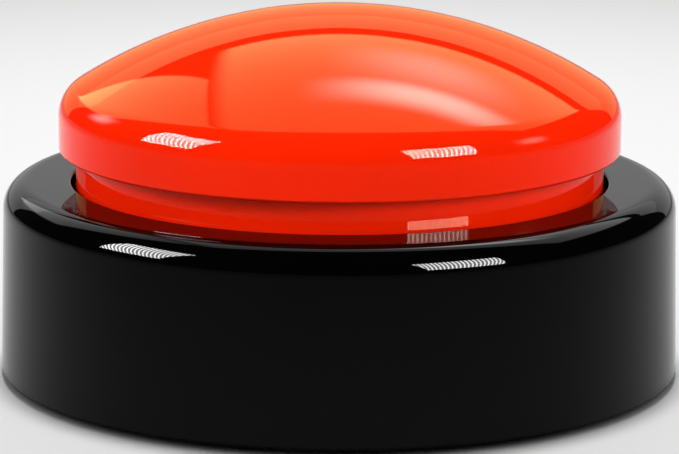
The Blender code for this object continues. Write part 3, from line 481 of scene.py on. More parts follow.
# Circuit board: a small board of resin-bonded laminate under green solder mask, with copper tracks that
# stand a little proud and key contacts in carbon ink. It carries a bare chip under a drop of black resin,
# a capacitor in a blue sleeve, and the solder joints of the four leads.
PRESSED_FOLD = 50.0
board_mask, tree, shader, place = new_material("green_solder_mask")
tracks = add_node(tree, "ShaderNodeTexBrick", {"offset": 0.37, "squash": 0.6, "squash_frequency": 3},
                  Vector=place, Scale=1.0, Mortar_Size=0.18 * MM, Mortar_Smooth=0.2, Brick_Width=9.0 * MM,
                  Row_Height=1.3 * MM, Color1=colour("#2B7043"), Color2=colour("#26683D"),
                  Mortar=colour("#174D2B"))
proud = add_node(tree, "ShaderNodeBump", {"invert": True}, Strength=0.5, Distance=0.05 * MM,
                 Height=tracks.outputs["Fac"])
feed(shader, Base_Color=tracks.outputs["Color"], Normal=proud.outputs[0], Roughness=0.32, IOR=1.55)


def slab_grid(low, high, corner, soft, thick=2, steps=5, bend_steps=8):
    """A block between two corners whose outline, seen along the axis thick, is a rectangle with round
    corners. Its two edges are rounded: a row at angle a is drawn in by soft (1 - sin a) and lies
    soft (1 - cos a) from the face. A row just inside them keeps the faces flat, which close in the middle."""
    order = [(thick + 1) % 3, (thick + 2) % 3, thick]
    low, high = np.asarray(low, dtype=float)[order], np.asarray(high, dtype=float)[order]
    middle, half = (low + high) / 2.0, (high - low) / 2.0
    angle = np.radians(np.linspace(0.0, 90.0, steps))
    inset = np.append(1.5 * soft, soft * (1.0 - np.sin(angle)))
    depth = np.append(0.0, soft * (1.0 - np.cos(angle)))
    inset = np.concatenate([inset, inset[::-1]])[:, None]
    level = np.concatenate([low[2] + depth, (high[2] - depth)[::-1]])[:, None]
    quarter = np.radians(np.arange(4) * 90.0)[:, None]
    bend = (quarter + np.radians(np.linspace(0.0, 90.0, bend_steps))).ravel()
    diagonal = quarter + math.pi / 4.0
    side = np.sign(np.stack([np.cos(diagonal), np.sin(diagonal)], axis=-1))
    side = np.repeat(side, bend_steps, axis=1).reshape(-1, 2)
    across = middle[0] + side[:, 0] * (half[0] - corner) + (corner - inset) * np.cos(bend)
    along = middle[1] + side[:, 1] * (half[1] - corner) + (corner - inset) * np.sin(bend)
    rows = np.stack([across, along, level + 0.0 * across], axis=-1)
    ends = np.broadcast_to(middle, (2, rows.shape[1], 3)).copy()
    ends[0, :, 2], ends[1, :, 2] = low[2], high[2]
    grid = np.concatenate([ends[:1], rows, ends[1:]]).reshape(-1, 3)
    points = np.empty_like(grid)
    points[:, order] = grid
    return points, strip_faces(len(rows) + 2, rows.shape[1])


board_low, board_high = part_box("circuit_board")
board_top, board_corner, board_soft = board_high[2], 1.0 * MM, 0.08 * MM
board_block = slab_grid(board_low, board_high, board_corner, board_soft)
board = new_piece("circuit_board_laminate", [board_block], board_mask)
fit(board, "base", "board", "circuit_board")


def drop_grid(low, high, rows=20, columns=64):
    """A drop of resin: at share s from the top the radius is R sin(90 s) and the height H cos(90 s), and
    the edge wanders in and out by a few slow waves, as a drop spreads."""
    middle = (np.asarray(low) + np.asarray(high)) / 2.0
    size = (high[0] - low[0]) / 2.0
    share = np.radians(np.linspace(0.0, 90.0, rows))[:, None]
    turn = once_round(columns)
    wander = 0.96 + 0.02 * np.cos(3.0 * turn + 0.6) + 0.02 * np.cos(5.0 * turn)
    radius = np.concatenate([size * np.sin(share) * wander, np.zeros((1, columns))])
    height = np.concatenate([low[2] + (high[2] - low[2]) * np.cos(share), [[low[2]]]])
    return round_grid(radius, height, turn, middle)


def smooth_polymer(name, base, shade, roughness, grain, ior):
    """Cast or extruded polymer: an even sheen with faint waves and clouds, grain metres across."""
    material, tree, shader, place = new_material(name)
    clouds = add_node(tree, "ShaderNodeTexNoise", Vector=place, Scale=1.0 / grain, Detail=3.0).outputs["Fac"]
    lay_finish(shader, (base, shade), clouds, (0.0, 1.0, roughness * 0.8, roughness * 1.2), clouds,
               (0.15, 0.1 * MM), clouds, IOR=ior)
    return material


black_resin = smooth_polymer("black_cast_resin", "#0A0A0B", "#111113", 0.18, 2.0 * MM, 1.55)
chip = new_piece("sound_chip_drop", [drop_grid(*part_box("sound_chip"))], black_resin)
fit(chip, "base", "resin", "sound_chip")
carbon_ink = smooth_polymer("black_carbon_ink", "#17181A", "#1F2022", 0.55, 0.5 * MM, 1.5)
pad_outer, pad_inner, pad_middle = 2.9 * MM, 1.9 * MM, 1.3 * MM
ink_top, ink_edge = board_top + 0.1 * MM, 0.02 * MM
pad_ring = rounded_profile([(pad_outer, board_top, ink_edge), (pad_outer, ink_top, ink_edge),
                            (pad_inner, ink_top, ink_edge), (pad_inner, board_top, ink_edge)])
pad_grids = [turned_grid(pad_ring, 96), rod_grid(pad_middle, board_top, ink_top, ink_edge)]
pads = new_piece("circuit_board_pads", pad_grids, carbon_ink)
fit(pads, "base", "resin")
tin_solder = bright_metal("tin_solder", "#C6C7C8", "#A9ABAD", 0.28, 0.5 * MM)
joint_half, joint_top = 1.1 * MM, 19.0 * MM
joint_spots = MM * np.array([(-10.8, -13.25), (10.8, -13.25), (12.48, 7.55), (12.48, 10.55)])
joint_drops = [drop_grid((*(spot - joint_half), board_top), (*(spot + joint_half), joint_top), 12, 32)
               for spot in joint_spots]
solder = new_piece("circuit_board_solder", joint_drops, tin_solder)
fit(solder, "base", "contact_nickel")


def laid_grid(profile, place, side, steps=64, closed=False):
    """A turned shape laid along X: profile point (r, l) at turn t lies at
    place + (side l, r cos t, r sin t)."""
    points, faces = turned_grid(profile, steps, closed)
    return np.asarray(place) + points[:, [2, 0, 1]] * (side, 1.0, 1.0), faces


blue_sleeve = smooth_polymer("blue_shrink_sleeve", "#1B3F78", "#16346A", 0.3, 1.5 * MM, 1.53)
low, high, can_place = node_box("capacitor")
can_radius, can_length, can_soft = (high[2] - low[2]) / 2.0, high[0] - low[0], 0.3 * MM
can_top = can_length - 0.1 * MM
can_place[0] = low[0]
can_profile = np.concatenate([
    [(0.0, can_soft), (can_radius - 2.0 * can_soft, can_soft), (can_radius - 1.5 * can_soft, 0.0)],
    arc(can_radius - can_soft, can_soft, can_soft, -90.0, 0.0, 5),
    [(can_radius, 1.1 * MM), (can_radius - 0.18 * MM, 1.35 * MM), (can_radius, 1.6 * MM)],
    arc(can_radius - can_soft, can_length - can_soft, can_soft, 0.0, 90.0, 5),
    [(can_radius - 2.0 * can_soft, can_top), (0.0, can_top)]])
capacitor = new_piece("capacitor_can", [laid_grid(can_profile, can_place, 1.0)], blue_sleeve, PRESSED_FOLD)
fit(capacitor, "base", "capacitor_sleeve", "capacitor")

# Switch dome: a key dome pressed from white silicone rubber. Its thin cone buckles under the plunger
# and closes the contact on the board, so it goes flat with the press.
white_silicone = smooth_polymer("white_silicone_rubber", "#DAD8D0", "#CFCDC5", 0.45, 1.2 * MM, 1.41)
feed(white_silicone.node_tree.nodes["Principled BSDF"], Subsurface_Weight=0.25,
     Subsurface_Radius=(0.8, 0.7, 0.6), Subsurface_Scale=1.0 * MM)
low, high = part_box("switch_dome")
key_radius, key_wall, key_soft = high[0], 0.8 * MM, 0.5 * MM
key_top, key_hollow, plunger = 4.0 * MM, 3.2 * MM, 1.6 * MM
flange, flange_inside = 1.2 * MM, 1.7 * MM
key_profile = rounded_profile([
    (0.0, high[2], 0.0), (key_top, high[2], key_soft),
    (key_radius - flange, low[2] + key_wall, key_soft), (key_radius, low[2] + key_wall, 0.2 * MM),
    (key_radius, low[2], 0.1 * MM), (key_radius - flange_inside, low[2], 0.1 * MM),
    (key_hollow, high[2] - plunger, 0.4 * MM), (0.0, high[2] - plunger, 0.0)])
key = new_piece("switch_dome_pressing", [turned_grid(key_profile, 96, closed=False)], white_silicone,
                PRESSED_FOLD)
fit(key, "base", "silicone", "switch_dome")
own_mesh(key)

# Loudspeaker: a pressed steel basket, a black paper cone with its rolled surround and dust cap, and a
# ferrite magnet. It lies face down on the cover, behind the grille.


def dull_sheet(name, base, shade, roughness, grain, strength, metallic=0.0):
    """Fibre, sintered powder or drawn sheet: a dull face broken up by specks, grain metres across, which
    are coarser than real fibres and grains, because those are too fine to show."""
    material, tree, shader, place = new_material(name)
    specks = add_node(tree, "ShaderNodeTexNoise", Vector=place, Scale=1.0 / grain, Detail=6.0,
                      Roughness=0.7).outputs["Fac"]
    lay_finish(shader, (base, shade), specks, (0.3, 0.7, roughness * 0.85, min(1.0, roughness * 1.15)),
               specks, (strength, 0.08 * MM), specks, Metallic=metallic)
    return material


basket_low, basket_high, basket_middle = node_box("speaker_frame")
speaker_radius, speaker_y = basket_high[0], basket_middle[1]
sheet, crown = 0.6 * MM, 9.3 * MM
mouth = speaker_radius - 1.7 * MM
basket_profile = rounded_profile([
    (0.0, basket_high[2], 0.0), (crown, basket_high[2], 0.8 * MM),
    (mouth, basket_low[2] + sheet, 0.5 * MM), (speaker_radius, basket_low[2] + sheet, 0.15 * MM),
    (speaker_radius, basket_low[2], 0.15 * MM), (mouth - 0.7 * MM, basket_low[2], 0.5 * MM),
    (crown - 0.4 * MM, basket_high[2] - sheet, 0.5 * MM), (0.0, basket_high[2] - sheet, 0.0)])
pressed_steel = dull_sheet("pressed_galvanised_steel", "#A9ACAF", "#8F9296", 0.4, 1.5 * MM, 0.1, 1.0)
cone_low, cone_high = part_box("speaker_cone")
cone_radius, roll, paper = cone_high[0], 1.0 * MM, 0.25 * MM
seat = cone_low[2] + roll + 0.1 * MM
throat, cap_rise = 3.6 * MM, 1.1 * MM
cone_face = np.concatenate([
    [(throat * t, cone_high[2] - 0.6 * MM - cap_rise * (1.0 - t * t)) for t in np.linspace(0.0, 1.0, 9)],
    [(throat + 0.1 * MM, cone_high[2] - 0.5 * MM), (cone_radius - 2.0 * roll - 0.4 * MM, seat)],
    arc(cone_radius - roll - 0.2 * MM, seat, roll, 180.0, 360.0, 12),
    [(cone_radius, seat)]])
cone_profile = np.concatenate([cone_face, cone_face[::-1] + (0.0, paper)])
black_paper = dull_sheet("black_pulp_paper", "#1A1A1A", "#0F0F0F", 0.85, 0.5 * MM, 0.6)
magnet_low, magnet_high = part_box("speaker_magnet")
magnet_radius, plate_top = magnet_high[0], magnet_low[2] + 1.0 * MM
ferrite_radius = magnet_radius - 0.3 * MM
magnet_profile = rounded_profile([
    (0.0, magnet_low[2], 0.0), (magnet_radius, magnet_low[2], 0.2 * MM),
    (magnet_radius, plate_top, 0.1 * MM), (ferrite_radius, plate_top, 0.05 * MM),
    (ferrite_radius, magnet_high[2], 0.35 * MM), (0.0, magnet_high[2], 0.0)])
ferrite = dull_sheet("sintered_ferrite", "#3A3A3D", "#2C2C2F", 0.55, 0.8 * MM, 0.3)
for name, profile, material, slot, node in (
        ("speaker_basket", basket_profile, pressed_steel, "pressed_steel", "speaker_frame"),
        ("speaker_paper_cone", cone_profile, black_paper, "speaker_paper", "speaker_cone"),
        ("speaker_ferrite_magnet", magnet_profile, ferrite, "ferrite", "speaker_magnet")):
    piece = new_piece(name, [placed(turned_grid(profile, 96, False), 0.0, speaker_y)], material)
    fit(piece, "base", slot, node)

# Battery contacts: strips stamped from nickel-plated steel and slid into the ends of the bay, with a
# conical coil of plated wire at each minus end, and solder tags that go through the wall.
plated_strip = bright_metal("nickel_plated_steel_strip", "#CFCBC0", "#B9B5AA", 0.25, 0.5 * MM)
strip_thick, strip_corner, strip_soft = 0.4 * MM, 0.8 * MM, 0.08 * MM
tag_in, tag_half, tag_half_thick, tag_corner = 0.2 * MM, 1.0 * MM, 0.2 * MM, 0.4 * MM
coil_wire, coil_tip, coil_turns, coil_closed = 0.6 * MM, 1.1 * MM, 4.0, 0.8
bridge_block = slab_grid(*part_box("contact_bridge"), strip_corner, strip_soft, 0)
bridge = new_piece("contact_bridge_strip", [bridge_block], plated_strip)
fit(bridge, "base", "contact_nickel", "contact_bridge")
for i in (1, 2):
    low, high, middle = node_box(f"contact_plate_{i}")
    strip_block = slab_grid(low, (low[0] + strip_thick, high[1], high[2]), strip_corner, strip_soft, 0)
    tag_low = (low[0] + tag_in, middle[1] - tag_half, middle[2] - tag_half_thick)
    tag_high = (high[0], middle[1] + tag_half, middle[2] + tag_half_thick)
    plate = new_piece(f"contact_plate_{i}_strip", [strip_block], plated_strip)
    combine(plate, [slab_grid(tag_low, tag_high, tag_corner, strip_soft)], "UNION", True)
    fit(plate, "base", "contact_nickel", f"contact_plate_{i}")
    low, high, start = node_box(f"contact_spring_{i}")
    side = math.copysign(1.0, low[0] + high[0])
    start[0] = (high[0] if side > 0.0 else low[0]) - side * coil_wire / 2.0
    wide = (high[1] - low[1] - coil_wire) / 2.0
    coil = coil_grid(start, (-side, 0, 0), (wide, coil_tip), high[0] - low[0] - coil_wire, coil_turns,
                     coil_wire, coil_closed)
    contact_coil = new_piece(f"contact_spring_{i}_wound", [coil], plated_strip, WIRE_FOLD)
    fit(contact_coil, "base", "spring_steel", f"contact_spring_{i}")

# Leads: stranded copper in red and black PVC sleeves, soldered at both ends. Two come up from the
# loudspeaker and two from the contact tags, through holes in the deck to the board.


def lead_grid(route, flat, radius, per_span=10, sides=16):
    """A round sleeve along a smooth curve through the route's points. Between two points the curve is
    the cubic whose slope at each is half the step between its neighbours. The section stands on the
    heading x flat, because the curve never runs along the vector flat."""
    route = np.asarray(route)
    padded = np.concatenate([2.0 * route[:1] - route[1:2], route, 2.0 * route[-1:] - route[-2:-1]])
    share = np.linspace(0.0, 1.0, per_span, endpoint=False)[:, None, None]
    before, first, second, after = (padded[i:len(padded) - 3 + i] for i in range(4))
    curve = 0.5 * (2.0 * first + (second - before) * share
                   + (2.0 * before - 5.0 * first + 4.0 * second - after) * share ** 2
                   + (3.0 * first - before - 3.0 * second + after) * share ** 3)
    line = np.concatenate([curve.transpose(1, 0, 2).reshape(-1, 3), route[-1:]])
    out = np.cross(heading(line), flat)
    out /= np.linalg.norm(out, axis=1)[:, None]
    return tube_grid(line, out, radius, sides)


red_pvc = smooth_polymer("red_pvc_sleeve", "#B3191B", "#A01416", 0.4, 1.0 * MM, 1.53)
black_pvc = smooth_polymer("black_pvc_sleeve", "#121213", "#1B1B1C", 0.4, 1.0 * MM, 1.53)
sleeves = ((1, red_pvc, "red_pvc"), (2, black_pvc, "black_pvc"))
for i, sleeve, slot in sleeves:
    low, high, middle = node_box(f"speaker_wire_{i}")
    route = MM * np.array([(0.0, -17.35, 7.87), (0.0, -17.35, 11.285), (0.0, -17.35, 16.3),
                           (0.0, -16.3, 19.8), (0.0, -13.25, 18.6)])
    route[:, 0] = middle[0]
    tube = lead_grid(route, (1.0, 0.0, 0.0), (high[0] - low[0]) / 2.0)
    lead = new_piece(f"speaker_wire_{i}_sleeve", [tube], sleeve, WIRE_FOLD)
    fit(lead, "base", slot, f"speaker_wire_{i}")
tag_rows, landing_pitch, turn_run, lead_run = (7.55, 18.45), 3.0, 1.3, 11.97
battery_lead_radius = 0.5 * MM
for i, sleeve, slot in sleeves:
    row, landing = tag_rows[i - 1], tag_rows[0] + landing_pitch * (i - 1)
    turn_y = row + (landing - row) * turn_run / lead_run
    route = MM * np.array([(28.45, row, 8.05), (28.45, row, 11.375), (28.45, row, 15.8),
                           (27.15, turn_y, 17.1), (22.465, (row + landing) / 2.0, 17.85),
                           (16.48, landing, 18.6), (12.48, landing, 18.6)])
    tube = lead_grid(route, (0.0, 1.0, 0.0), battery_lead_radius)
    lead = new_piece(f"battery_wire_{i}_sleeve", [tube], sleeve, WIRE_FOLD)
    fit(lead, "base", slot, f"battery_wire_{i}")

# Bottom cover and its screws: a black ABS disc with a spark-eroded skin that closes the base. Moulded
# into it are the battery bay, the grille, the wells of the four screws and the seats of the feet.
cover_low, cover_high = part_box("bottom_cover")
door_low, door_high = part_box("battery_door")
door_boss = [(0.0, node_box("door_screw")[2][1])]
foot_spots = [node_box(f"rubber_foot_{i}")[2][:2] for i in FOUR]
under = cover_low[2]
below, rooted, floor_top = under - beyond, under + 1.0 * MM, under + 2.0 * MM
well_seat, well_top, well_radius, well_wall = under + 2.4 * MM, under + 4.0 * MM, 2.6 * MM, 0.8 * MM
door_boss_radius, door_boss_top, door_pilot = 4.9 * MM, under + 10.4 * MM, 7.3 * MM
door_well_radius, foot_seat_radius, foot_seat = 3.7 * MM, 3.8 * MM, under + 0.9 * MM
bay_half, bay_front, bay_back, bay_wall = 25.25 * MM, 1.9 * MM, 24.1 * MM, 1.2 * MM
door_gap, door_ledge, door_seat = 0.3 * MM, bay_back + 1.0 * MM, under + 1.3 * MM
hole_radius, hole_flare, hole_pitch = 1.1 * MM, 0.25 * MM, 4.2 * MM
slit_half, slit_low, slit_high = 1.3 * MM, 7.05 * MM, 8.05 * MM
slit_in, slit_out = bay_half - 1.0 * MM, bay_half + 2.2 * MM
grille_hole = np.array([
    (0.0, below), (hole_radius + hole_flare, below), (hole_radius + hole_flare, under),
    (hole_radius, under + hole_flare), (hole_radius, floor_top + beyond), (0.0, floor_top + beyond)])
holes = [placed(turned_grid(grille_hole, 32, False), x, speaker_y + y)
         for ring, count in ((0, 1), (1, 6), (2, 12)) for x, y in ring_spots(hole_pitch * ring, 0.0, count)]
bay_outside = slab_grid((-bay_half - bay_wall, bay_front - bay_wall, rooted),
                        (bay_half + bay_wall, bay_back + bay_wall, cover_high[2]), 1.6 * MM, 0.4 * MM)
bay_inside = slab_grid((-bay_half, bay_front, below),
                       (bay_half, bay_back, cover_high[2] - bay_wall), 1.0 * MM, 0.5 * MM)
door_recess = slab_grid((door_low[0] - door_gap, door_low[1] - door_gap, below),
                        (door_high[0] + door_gap, door_ledge, door_seat), 1.2 * MM, 0.1 * MM)
tag_slits = [slab_grid((slit_in, row * MM - slit_half, slit_low),
                       (slit_out, row * MM + slit_half, slit_high), 0.4 * MM, 0.1 * MM) for row in tag_rows]
satin_abs = matt_abs("black_spark_eroded_abs", "#141415", "#191919", 0.35 * MM)
cover = new_piece("bottom_cover_moulding", [rod_grid(cover_high[0], under, floor_top, 0.4 * MM, 192)],
                  satin_abs)
for operation, grids in (
        ("UNION", rods_at(boss_spots, well_radius + well_wall, rooted, well_top)),
        ("UNION", rods_at(door_boss, door_boss_radius, rooted, door_boss_top)),
        ("UNION", [bay_outside]),
        ("DIFFERENCE", holes + rods_at(boss_spots, well_radius, below, well_seat)
         + rods_at(foot_spots, foot_seat_radius, below, foot_seat)
         + rods_at(door_boss, door_well_radius, below, well_top + door_gap)),
        ("DIFFERENCE", rods_at(boss_spots, pilot_radius, below, well_top + beyond)
         + rods_at(door_boss, pilot_radius, below, well_seat + door_pilot)),
        ("DIFFERENCE", [bay_inside]),
        ("DIFFERENCE", [door_recess]),
        ("DIFFERENCE", tag_slits)):
    combine(cover, grids, operation, True)
fit(cover, "base", "cover_plastic", "bottom_cover")
add_screws("base", *[f"cover_screw_{i}" for i in FOUR])

# Rubber feet: four round pads of black rubber pressed into the seats of the cover, with a rounded
# edge and a shallow dish so that they grip the table.
black_rubber = dull_sheet("black_moulded_rubber", "#161616", "#1E1E1E", 0.8, 0.6 * MM, 0.4)
dish, dish_rim, dish_edge = 0.2 * MM, 1.4 * MM, 1.7 * MM
for i in FOUR:
    low, high, middle = node_box(f"rubber_foot_{i}")
    pad_radius = (high[0] - low[0]) / 2.0
    pad_profile = rounded_profile([
        (0.0, low[2] + dish, 0.0), (pad_radius - dish_edge, low[2] + dish, 0.2 * MM),
        (pad_radius - dish_rim, low[2], 0.2 * MM), (pad_radius, low[2], 0.45 * MM),
        (pad_radius, high[2], 0.1 * MM), (0.0, high[2], 0.0)])
    pad = placed(turned_grid(pad_profile, 64, False), *middle[:2])
    foot = new_piece(f"rubber_foot_{i}_pad", [pad], black_rubber)
    fit(foot, "base", "foot_rubber", f"rubber_foot_{i}")

# Cells: two AAA cells laid head to tail. Each is a drawn steel can with a crimped minus end and a raised
# plus button, in a plain printed film with a pale band round its plus end.
cell_radius, button_radius, button_height, button_sunk = 5.25 * MM, 1.9 * MM, 1.0 * MM, 0.4 * MM
drawn_radius, film_inside, film_margin = cell_radius - 0.25 * MM, cell_radius - 0.35 * MM, 0.4 * MM
band_start, band_end = 9.1 * MM, 8.9 * MM
can_steel = bright_metal("nickel_plated_can", "#C9CACC", "#B4B6B9", 0.22, 0.8 * MM)


def printed_film(name, plus_x, towards):
    """Printed shrink film: an even gloss, deep green over the can, pale within 9 mm of the plus end."""
    material, tree, shader, place = new_material(name)
    split = add_node(tree, "ShaderNodeSeparateXYZ", Vector=place)
    band = add_node(tree, "ShaderNodeMapRange", Value=split.outputs["X"],
                    From_Min=plus_x - towards * band_start, From_Max=plus_x - towards * band_end)
    clouds = add_node(tree, "ShaderNodeTexNoise", Vector=place, Scale=1.0 / (3.0 * MM), Detail=3.0)
    clouds = clouds.outputs["Fac"]
    lay_finish(shader, ("#1F4A3A", "#C9CCC4"), band.outputs[0], (0.0, 1.0, 0.16, 0.3), clouds,
               (0.1, 0.1 * MM), clouds, IOR=1.53)
    return material


for i, side in ((1, 1.0), (2, -1.0)):
    low, high, minus = node_box(f"battery_{i}")
    minus[0] = low[0] if side > 0.0 else high[0]
    length = high[0] - low[0]
    can_end = length - button_height
    can_profile = rounded_profile([
        (0.0, 0.15 * MM, 0.0), (2.6 * MM, 0.15 * MM, 0.1 * MM), (2.9 * MM, 0.0, 0.1 * MM),
        (drawn_radius, 0.0, 0.6 * MM), (drawn_radius, can_end, 0.6 * MM),
        (3.4 * MM, can_end, 0.1 * MM), (3.2 * MM, can_end - button_sunk, 0.1 * MM),
        (button_radius, can_end - button_sunk, 0.15 * MM), (button_radius, length, 0.3 * MM),
        (0.0, length, 0.0)])
    can = new_piece(f"battery_{i}_can", [laid_grid(can_profile, minus, side, 96)], can_steel)
    film_profile = rounded_profile([
        (film_inside, film_margin, 0.05 * MM), (cell_radius, film_margin, 0.12 * MM),
        (cell_radius, can_end - film_margin, 0.12 * MM), (film_inside, can_end - film_margin, 0.05 * MM)])
    film = new_piece(f"battery_{i}_film", [laid_grid(film_profile, minus, side, 96, True)],
                     printed_film(f"printed_shrink_film_{i}", minus[0] + side * can_end, side))
    fit(film, "base", "cell_wrap", f"battery_{i}")
    fit(can, "base", "contact_nickel")

# Battery door and its screw: a thin lid of the same satin ABS, let into the cover, with grip grooves. Its
# well takes one screw, which stays in the lid when it is lifted off.
lid_back, lid_thick, well_outside = 24.8 * MM, 1.0 * MM, 3.4 * MM
groove_half, groove_front, groove_back = 7.0 * MM, 4.0 * MM, 4.9 * MM
groove_pitch, groove_top, groove_count = 1.6 * MM, under + 0.3 * MM, 5
lid = slab_grid((door_low[0], door_low[1], under), (door_high[0], lid_back, under + lid_thick),
                0.9 * MM, 0.2 * MM)
grooves = [slab_grid((-groove_half, groove_front + groove_pitch * k, below),
                     (groove_half, groove_back + groove_pitch * k, groove_top), 0.4 * MM, 0.12 * MM)
           for k in range(groove_count)]
door = new_piece("battery_door_lid", [lid], satin_abs)
for operation, grids in (
        ("UNION", rods_at(door_boss, well_outside, under, well_top, 0.2 * MM)),
        ("DIFFERENCE", rods_at(door_boss, well_radius, below, well_seat)),
        ("DIFFERENCE", rods_at(door_boss, pilot_radius, below, well_top + beyond)),
        ("DIFFERENCE", grooves)):
    combine(door, grids, operation, True)
fit(door, "battery_door", "cover_plastic", "battery_door")
add_screws("battery_door", "door_screw")

# Floor: a plain pale sweep of painted board that the buzzer stands on. It is stage, not part of the
# object, and lamps of its own light it.
floor_half = 3.0
floor_mesh = bpy.data.meshes.new("floor")
floor_mesh.from_pydata([(-floor_half, -floor_half, 0.0), (floor_half, -floor_half, 0.0),
                        (floor_half, floor_half, 0.0), (-floor_half, floor_half, 0.0)], [], [(0, 1, 2, 3)])
pale_board = bpy.data.materials.new("pale_floor_board")
pale_board.use_nodes = True
feed(pale_board.node_tree.nodes["Principled BSDF"], Base_Color=colour("#EFEFEF"), Roughness=0.6)
floor_mesh.materials.append(pale_board)
put_in_scene("floor", floor_mesh)

# Camera: a long lens, a little above the rim of the cap, looking down by twelve degrees. Its roll
# follows the slight tilt of the photograph.
CAMERA_PLACE = (0.0, -0.44377, 0.11551)
CAMERA_PITCH, CAMERA_ROLL = 12.267, 0.272
camera_data = bpy.data.cameras.new("camera")
camera_data.sensor_width = 36.0
camera_data.lens = 181.0
camera = put_in_scene("camera", camera_data)
camera.location = CAMERA_PLACE
tilt = Matrix.Rotation(math.radians(90.0 - CAMERA_PITCH), 3, "X")
camera.rotation_euler = (tilt @ Matrix.Rotation(math.radians(CAMERA_ROLL), 3, "Z")).to_euler()
bpy.context.scene.camera = camera

# Studio light: a large softbox overhead and behind, a dimmer board at the left and a white wall at the
# back, each with one lamp for the cap and one for the rest. Two soft keys light the front, and the tubes
# before them leave striped glints on the gloss.
WHITE, WARM, CLEAR, COOL = "#FFFFFF", "#FFED9C", "#FFF8FF", "#E3E5FF"
OVERHEAD = 1.2
TUBE_SHARE, REFLECTOR_SHARE = 0.4, 1.0 / 6.0
TUBE_DISTANCE, PANEL_DISTANCE = 1.0, 1.1
CAP_GLINT, WORKS_GLINT = 110.0, 130.0


def lamp_axes(azimuth, elevation):
    """Unit vectors for a lamp that faces the buzzer from an azimuth, from +Y towards +X, and an elevation
    above the floor, in degrees: out to the lamp, along its width and up its height."""
    turn, rise = math.radians(azimuth), math.radians(elevation)
    out = np.array((math.sin(turn) * math.cos(rise), math.cos(turn) * math.cos(rise), math.sin(rise)))
    across = np.cross((0.0, 0.0, 1.0), -out)
    across /= np.linalg.norm(across)
    return out, across, np.cross(-out, across)


def panel_light(name, receivers, place, across, up, radiance, tint=WHITE, edge=0.0, bars=0, lean=0.0):
    """A flat lamp at place, spanned by the full vectors across and up, shining along across x up on the
    receivers. Its power is pi x radiance x area, which makes its face as bright as radiance. With edge,
    its light fades out over that share of its width and height at each side, as cloth does over a lamp.
    With bars, it is a row of so many tubes, each filling TUBE_SHARE of its pitch, that go lean widths of
    the lamp sideways over its height, before a reflector REFLECTOR_SHARE as bright."""
    across, up = np.asarray(across), np.asarray(up)
    width, height = np.linalg.norm(across), np.linalg.norm(up)
    facing = np.cross(across, up)
    facing /= np.linalg.norm(facing)
    lamp = bpy.data.lights.new(name, "AREA")
    lamp.shape = "RECTANGLE"
    lamp.size, lamp.size_y = width, height
    lamp.energy = math.pi * radiance * width * height
    lamp.color = colour(tint)[:3]
    if edge or bars:
        lamp.use_nodes = True
        tree = lamp.node_tree
        face = add_node(tree, "ShaderNodeNewGeometry").outputs["Parametric"]
        split = add_node(tree, "ShaderNodeSeparateXYZ", Vector=face)
        glow = 1.0
        for axis in ("X", "Y") if edge else ():
            inwards = add_node(tree, "ShaderNodeMath", {"operation": "PINGPONG"}, i0=split.outputs[axis],
                               i1=0.5)
            fade = add_node(tree, "ShaderNodeMapRange", {"interpolation_type": "SMOOTHSTEP"},
                            Value=inwards.outputs[0], From_Max=edge)
            glow = add_node(tree, "ShaderNodeMath", {"operation": "MULTIPLY"}, i0=fade.outputs[0],
                            i1=glow).outputs[0]
        if bars:
            slant = add_node(tree, "ShaderNodeMath", {"operation": "MULTIPLY_ADD"}, i0=split.outputs["Y"],
                             i1=lean, i2=split.outputs["X"])
            count = add_node(tree, "ShaderNodeMath", {"operation": "MULTIPLY"}, i0=slant.outputs[0],
                             i1=float(bars))
            share = add_node(tree, "ShaderNodeMath", {"operation": "FRACT"}, i0=count.outputs[0])
            tube = add_node(tree, "ShaderNodeMath", {"operation": "LESS_THAN"}, i0=share.outputs[0],
                            i1=TUBE_SHARE)
            glow = add_node(tree, "ShaderNodeMapRange", Value=tube.outputs[0],
                            To_Min=REFLECTOR_SHARE).outputs[0]
        feed(tree.nodes["Emission"], Strength=glow)
    holder = put_in_scene(name, lamp)
    axes = np.eye(4)
    axes[:3, 0], axes[:3, 1], axes[:3, 2], axes[:3, 3] = -across / width, up / height, -facing, place
    holder.matrix_world = Matrix(axes.tolist())
    holder.light_linking.receiver_collection = receivers
    return holder


def linked_to(name, **pieces):
    """A collection that says which pieces a lamp lights: those marked True, or all but those marked
    False."""
    group = bpy.data.collections.new(name)
    for i, (piece, lit) in enumerate(pieces.items()):
        group.objects.link(bpy.data.objects[piece])
        group.collection_objects[i].light_linking.link_state = "INCLUDE" if lit else "EXCLUDE"
    return group


def key_lamp(name, azimuth, elevation, width, height, soft, cap_bars, bars, lean):
    """A key lamp: a soft panel that gives the light, and a row of tubes before it that only glint. The
    tubes are fewer and wider than real ones, because finer ones run together in the glints."""
    out, across, up = lamp_axes(azimuth, elevation)
    across, up = across * width, up * height
    panel = panel_light(name, unlit_floor, out * PANEL_DISTANCE, across, up, soft)
    panel.visible_glossy = False
    for receivers, glint, tint, count in ((cap_only, CAP_GLINT, COOL, cap_bars),
                                          (works_only, WORKS_GLINT, WHITE, bars)):
        tubes = panel_light(f"{name}_tubes", receivers, out * TUBE_DISTANCE, across, up, glint, tint,
                            bars=count, lean=lean)
        tubes.visible_diffuse = False


lit_floor = linked_to("lit_floor", floor=True)
unlit_floor = linked_to("unlit_floor", floor=False)
cap_only = linked_to("cap_only", dome_cap_moulding=True)
works_only = linked_to("works_only", dome_cap_moulding=False, floor=False)
for name, azimuth, elevation, size, glow in (("left_spot", -57.0, 26.0, 0.36, 7.0),
                                             ("right_spot", 95.0, 22.0, 0.36, 9.0)):
    out, across, up = lamp_axes(azimuth, elevation)
    spot = panel_light(name, cap_only, out, size * across, size * up, glow, CLEAR, 0.5)
    spot.visible_diffuse = False

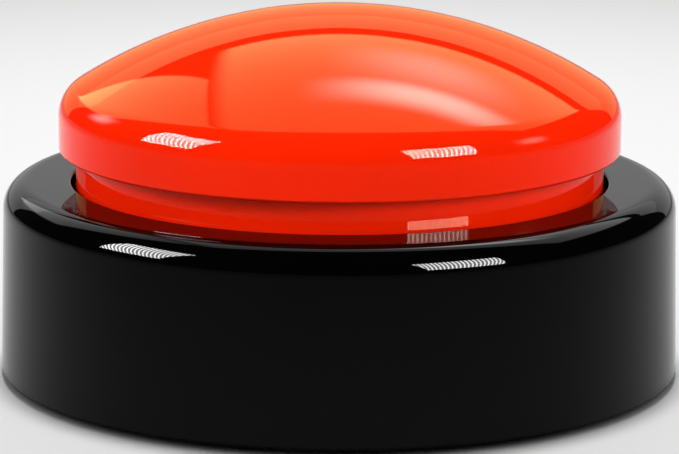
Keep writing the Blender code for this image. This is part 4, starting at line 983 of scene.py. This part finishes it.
# Each row gives a lamp's name, the unit of its lengths in metres, its place, its two spans, its radiance
# for the works and for the cap, the share that its edge fades over, and its tint for the cap.
for name, unit, place, across, up, plain, warm, edge, tint in (
        ("softbox", OVERHEAD, (0.33, 0.84, 1.0), (1.48, 0, 0), (0, -1.38, 0), 2.4, 2.9, 0.06, WARM),
        ("softbox_glow", OVERHEAD, (0.28, 0.86, 0.99), (0.72, 0, 0), (0, -0.84, 0), 3.0, 3.6, 0.5, CLEAR),
        ("left_board", OVERHEAD, (-0.40, 0.60, 0.64), (0, 0.70, 0), (0, 0, 0.76), 1.8, 2.6, 0.06, WARM),
        ("back_wall", 1.0, (0, 1.6, 0.29), (2.4, 0, 0), (0, 0, 0.54), 0.65, 0.7, 0.0, WARM),
        ("back_wall_top", 1.0, (0, 1.6, 0.74), (2.4, 0, 0), (0, 0, 0.36), 0.9, 1.0, 0.0, WARM),
        ("softbox_tube", OVERHEAD, (0.26, 0.54, 0.98), (0.80, 0, 0), (0, -0.30, 0), 11.0, 14.0, 0.45,
         CLEAR)):
    place, across, up = unit * np.array((place, across, up))
    panel_light(name, works_only, place, across, up, plain, edge=edge)
    panel_light(f"{name}_warm", cap_only, place, across, up, warm, tint, edge)
panel_light("floor_wash", lit_floor, (0.0, 0.0, 2.0), (9.0, 0.0, 0.0), (0.0, -9.0, 0.0), 0.42)
pool_lamp = bpy.data.lights.new("floor_pool", "SPOT")
pool_lamp.energy = 56.0
pool_lamp.spot_size = math.radians(34.0)
pool_lamp.spot_blend = 1.0
pool_lamp.shadow_soft_size = 0.15
floor_pool = put_in_scene("floor_pool", pool_lamp)
floor_pool.location = (0.0, 0.14, 1.3)
floor_pool.light_linking.receiver_collection = lit_floor
key_lamp("left_key", -106.0, 30.0, 0.44, 0.52, 13.0, 11, 16, 0.41)
key_lamp("right_key", 138.0, 24.0, 0.48, 0.45, 12.5, 14, 20, -0.11)

world = bpy.data.worlds.new("studio")
world.use_nodes = True
feed(world.node_tree.nodes["Background"], Color=(0.02, 0.02, 0.02, 1.0))
bpy.context.scene.world = world
bpy.context.scene.view_settings.view_transform = "Standard"
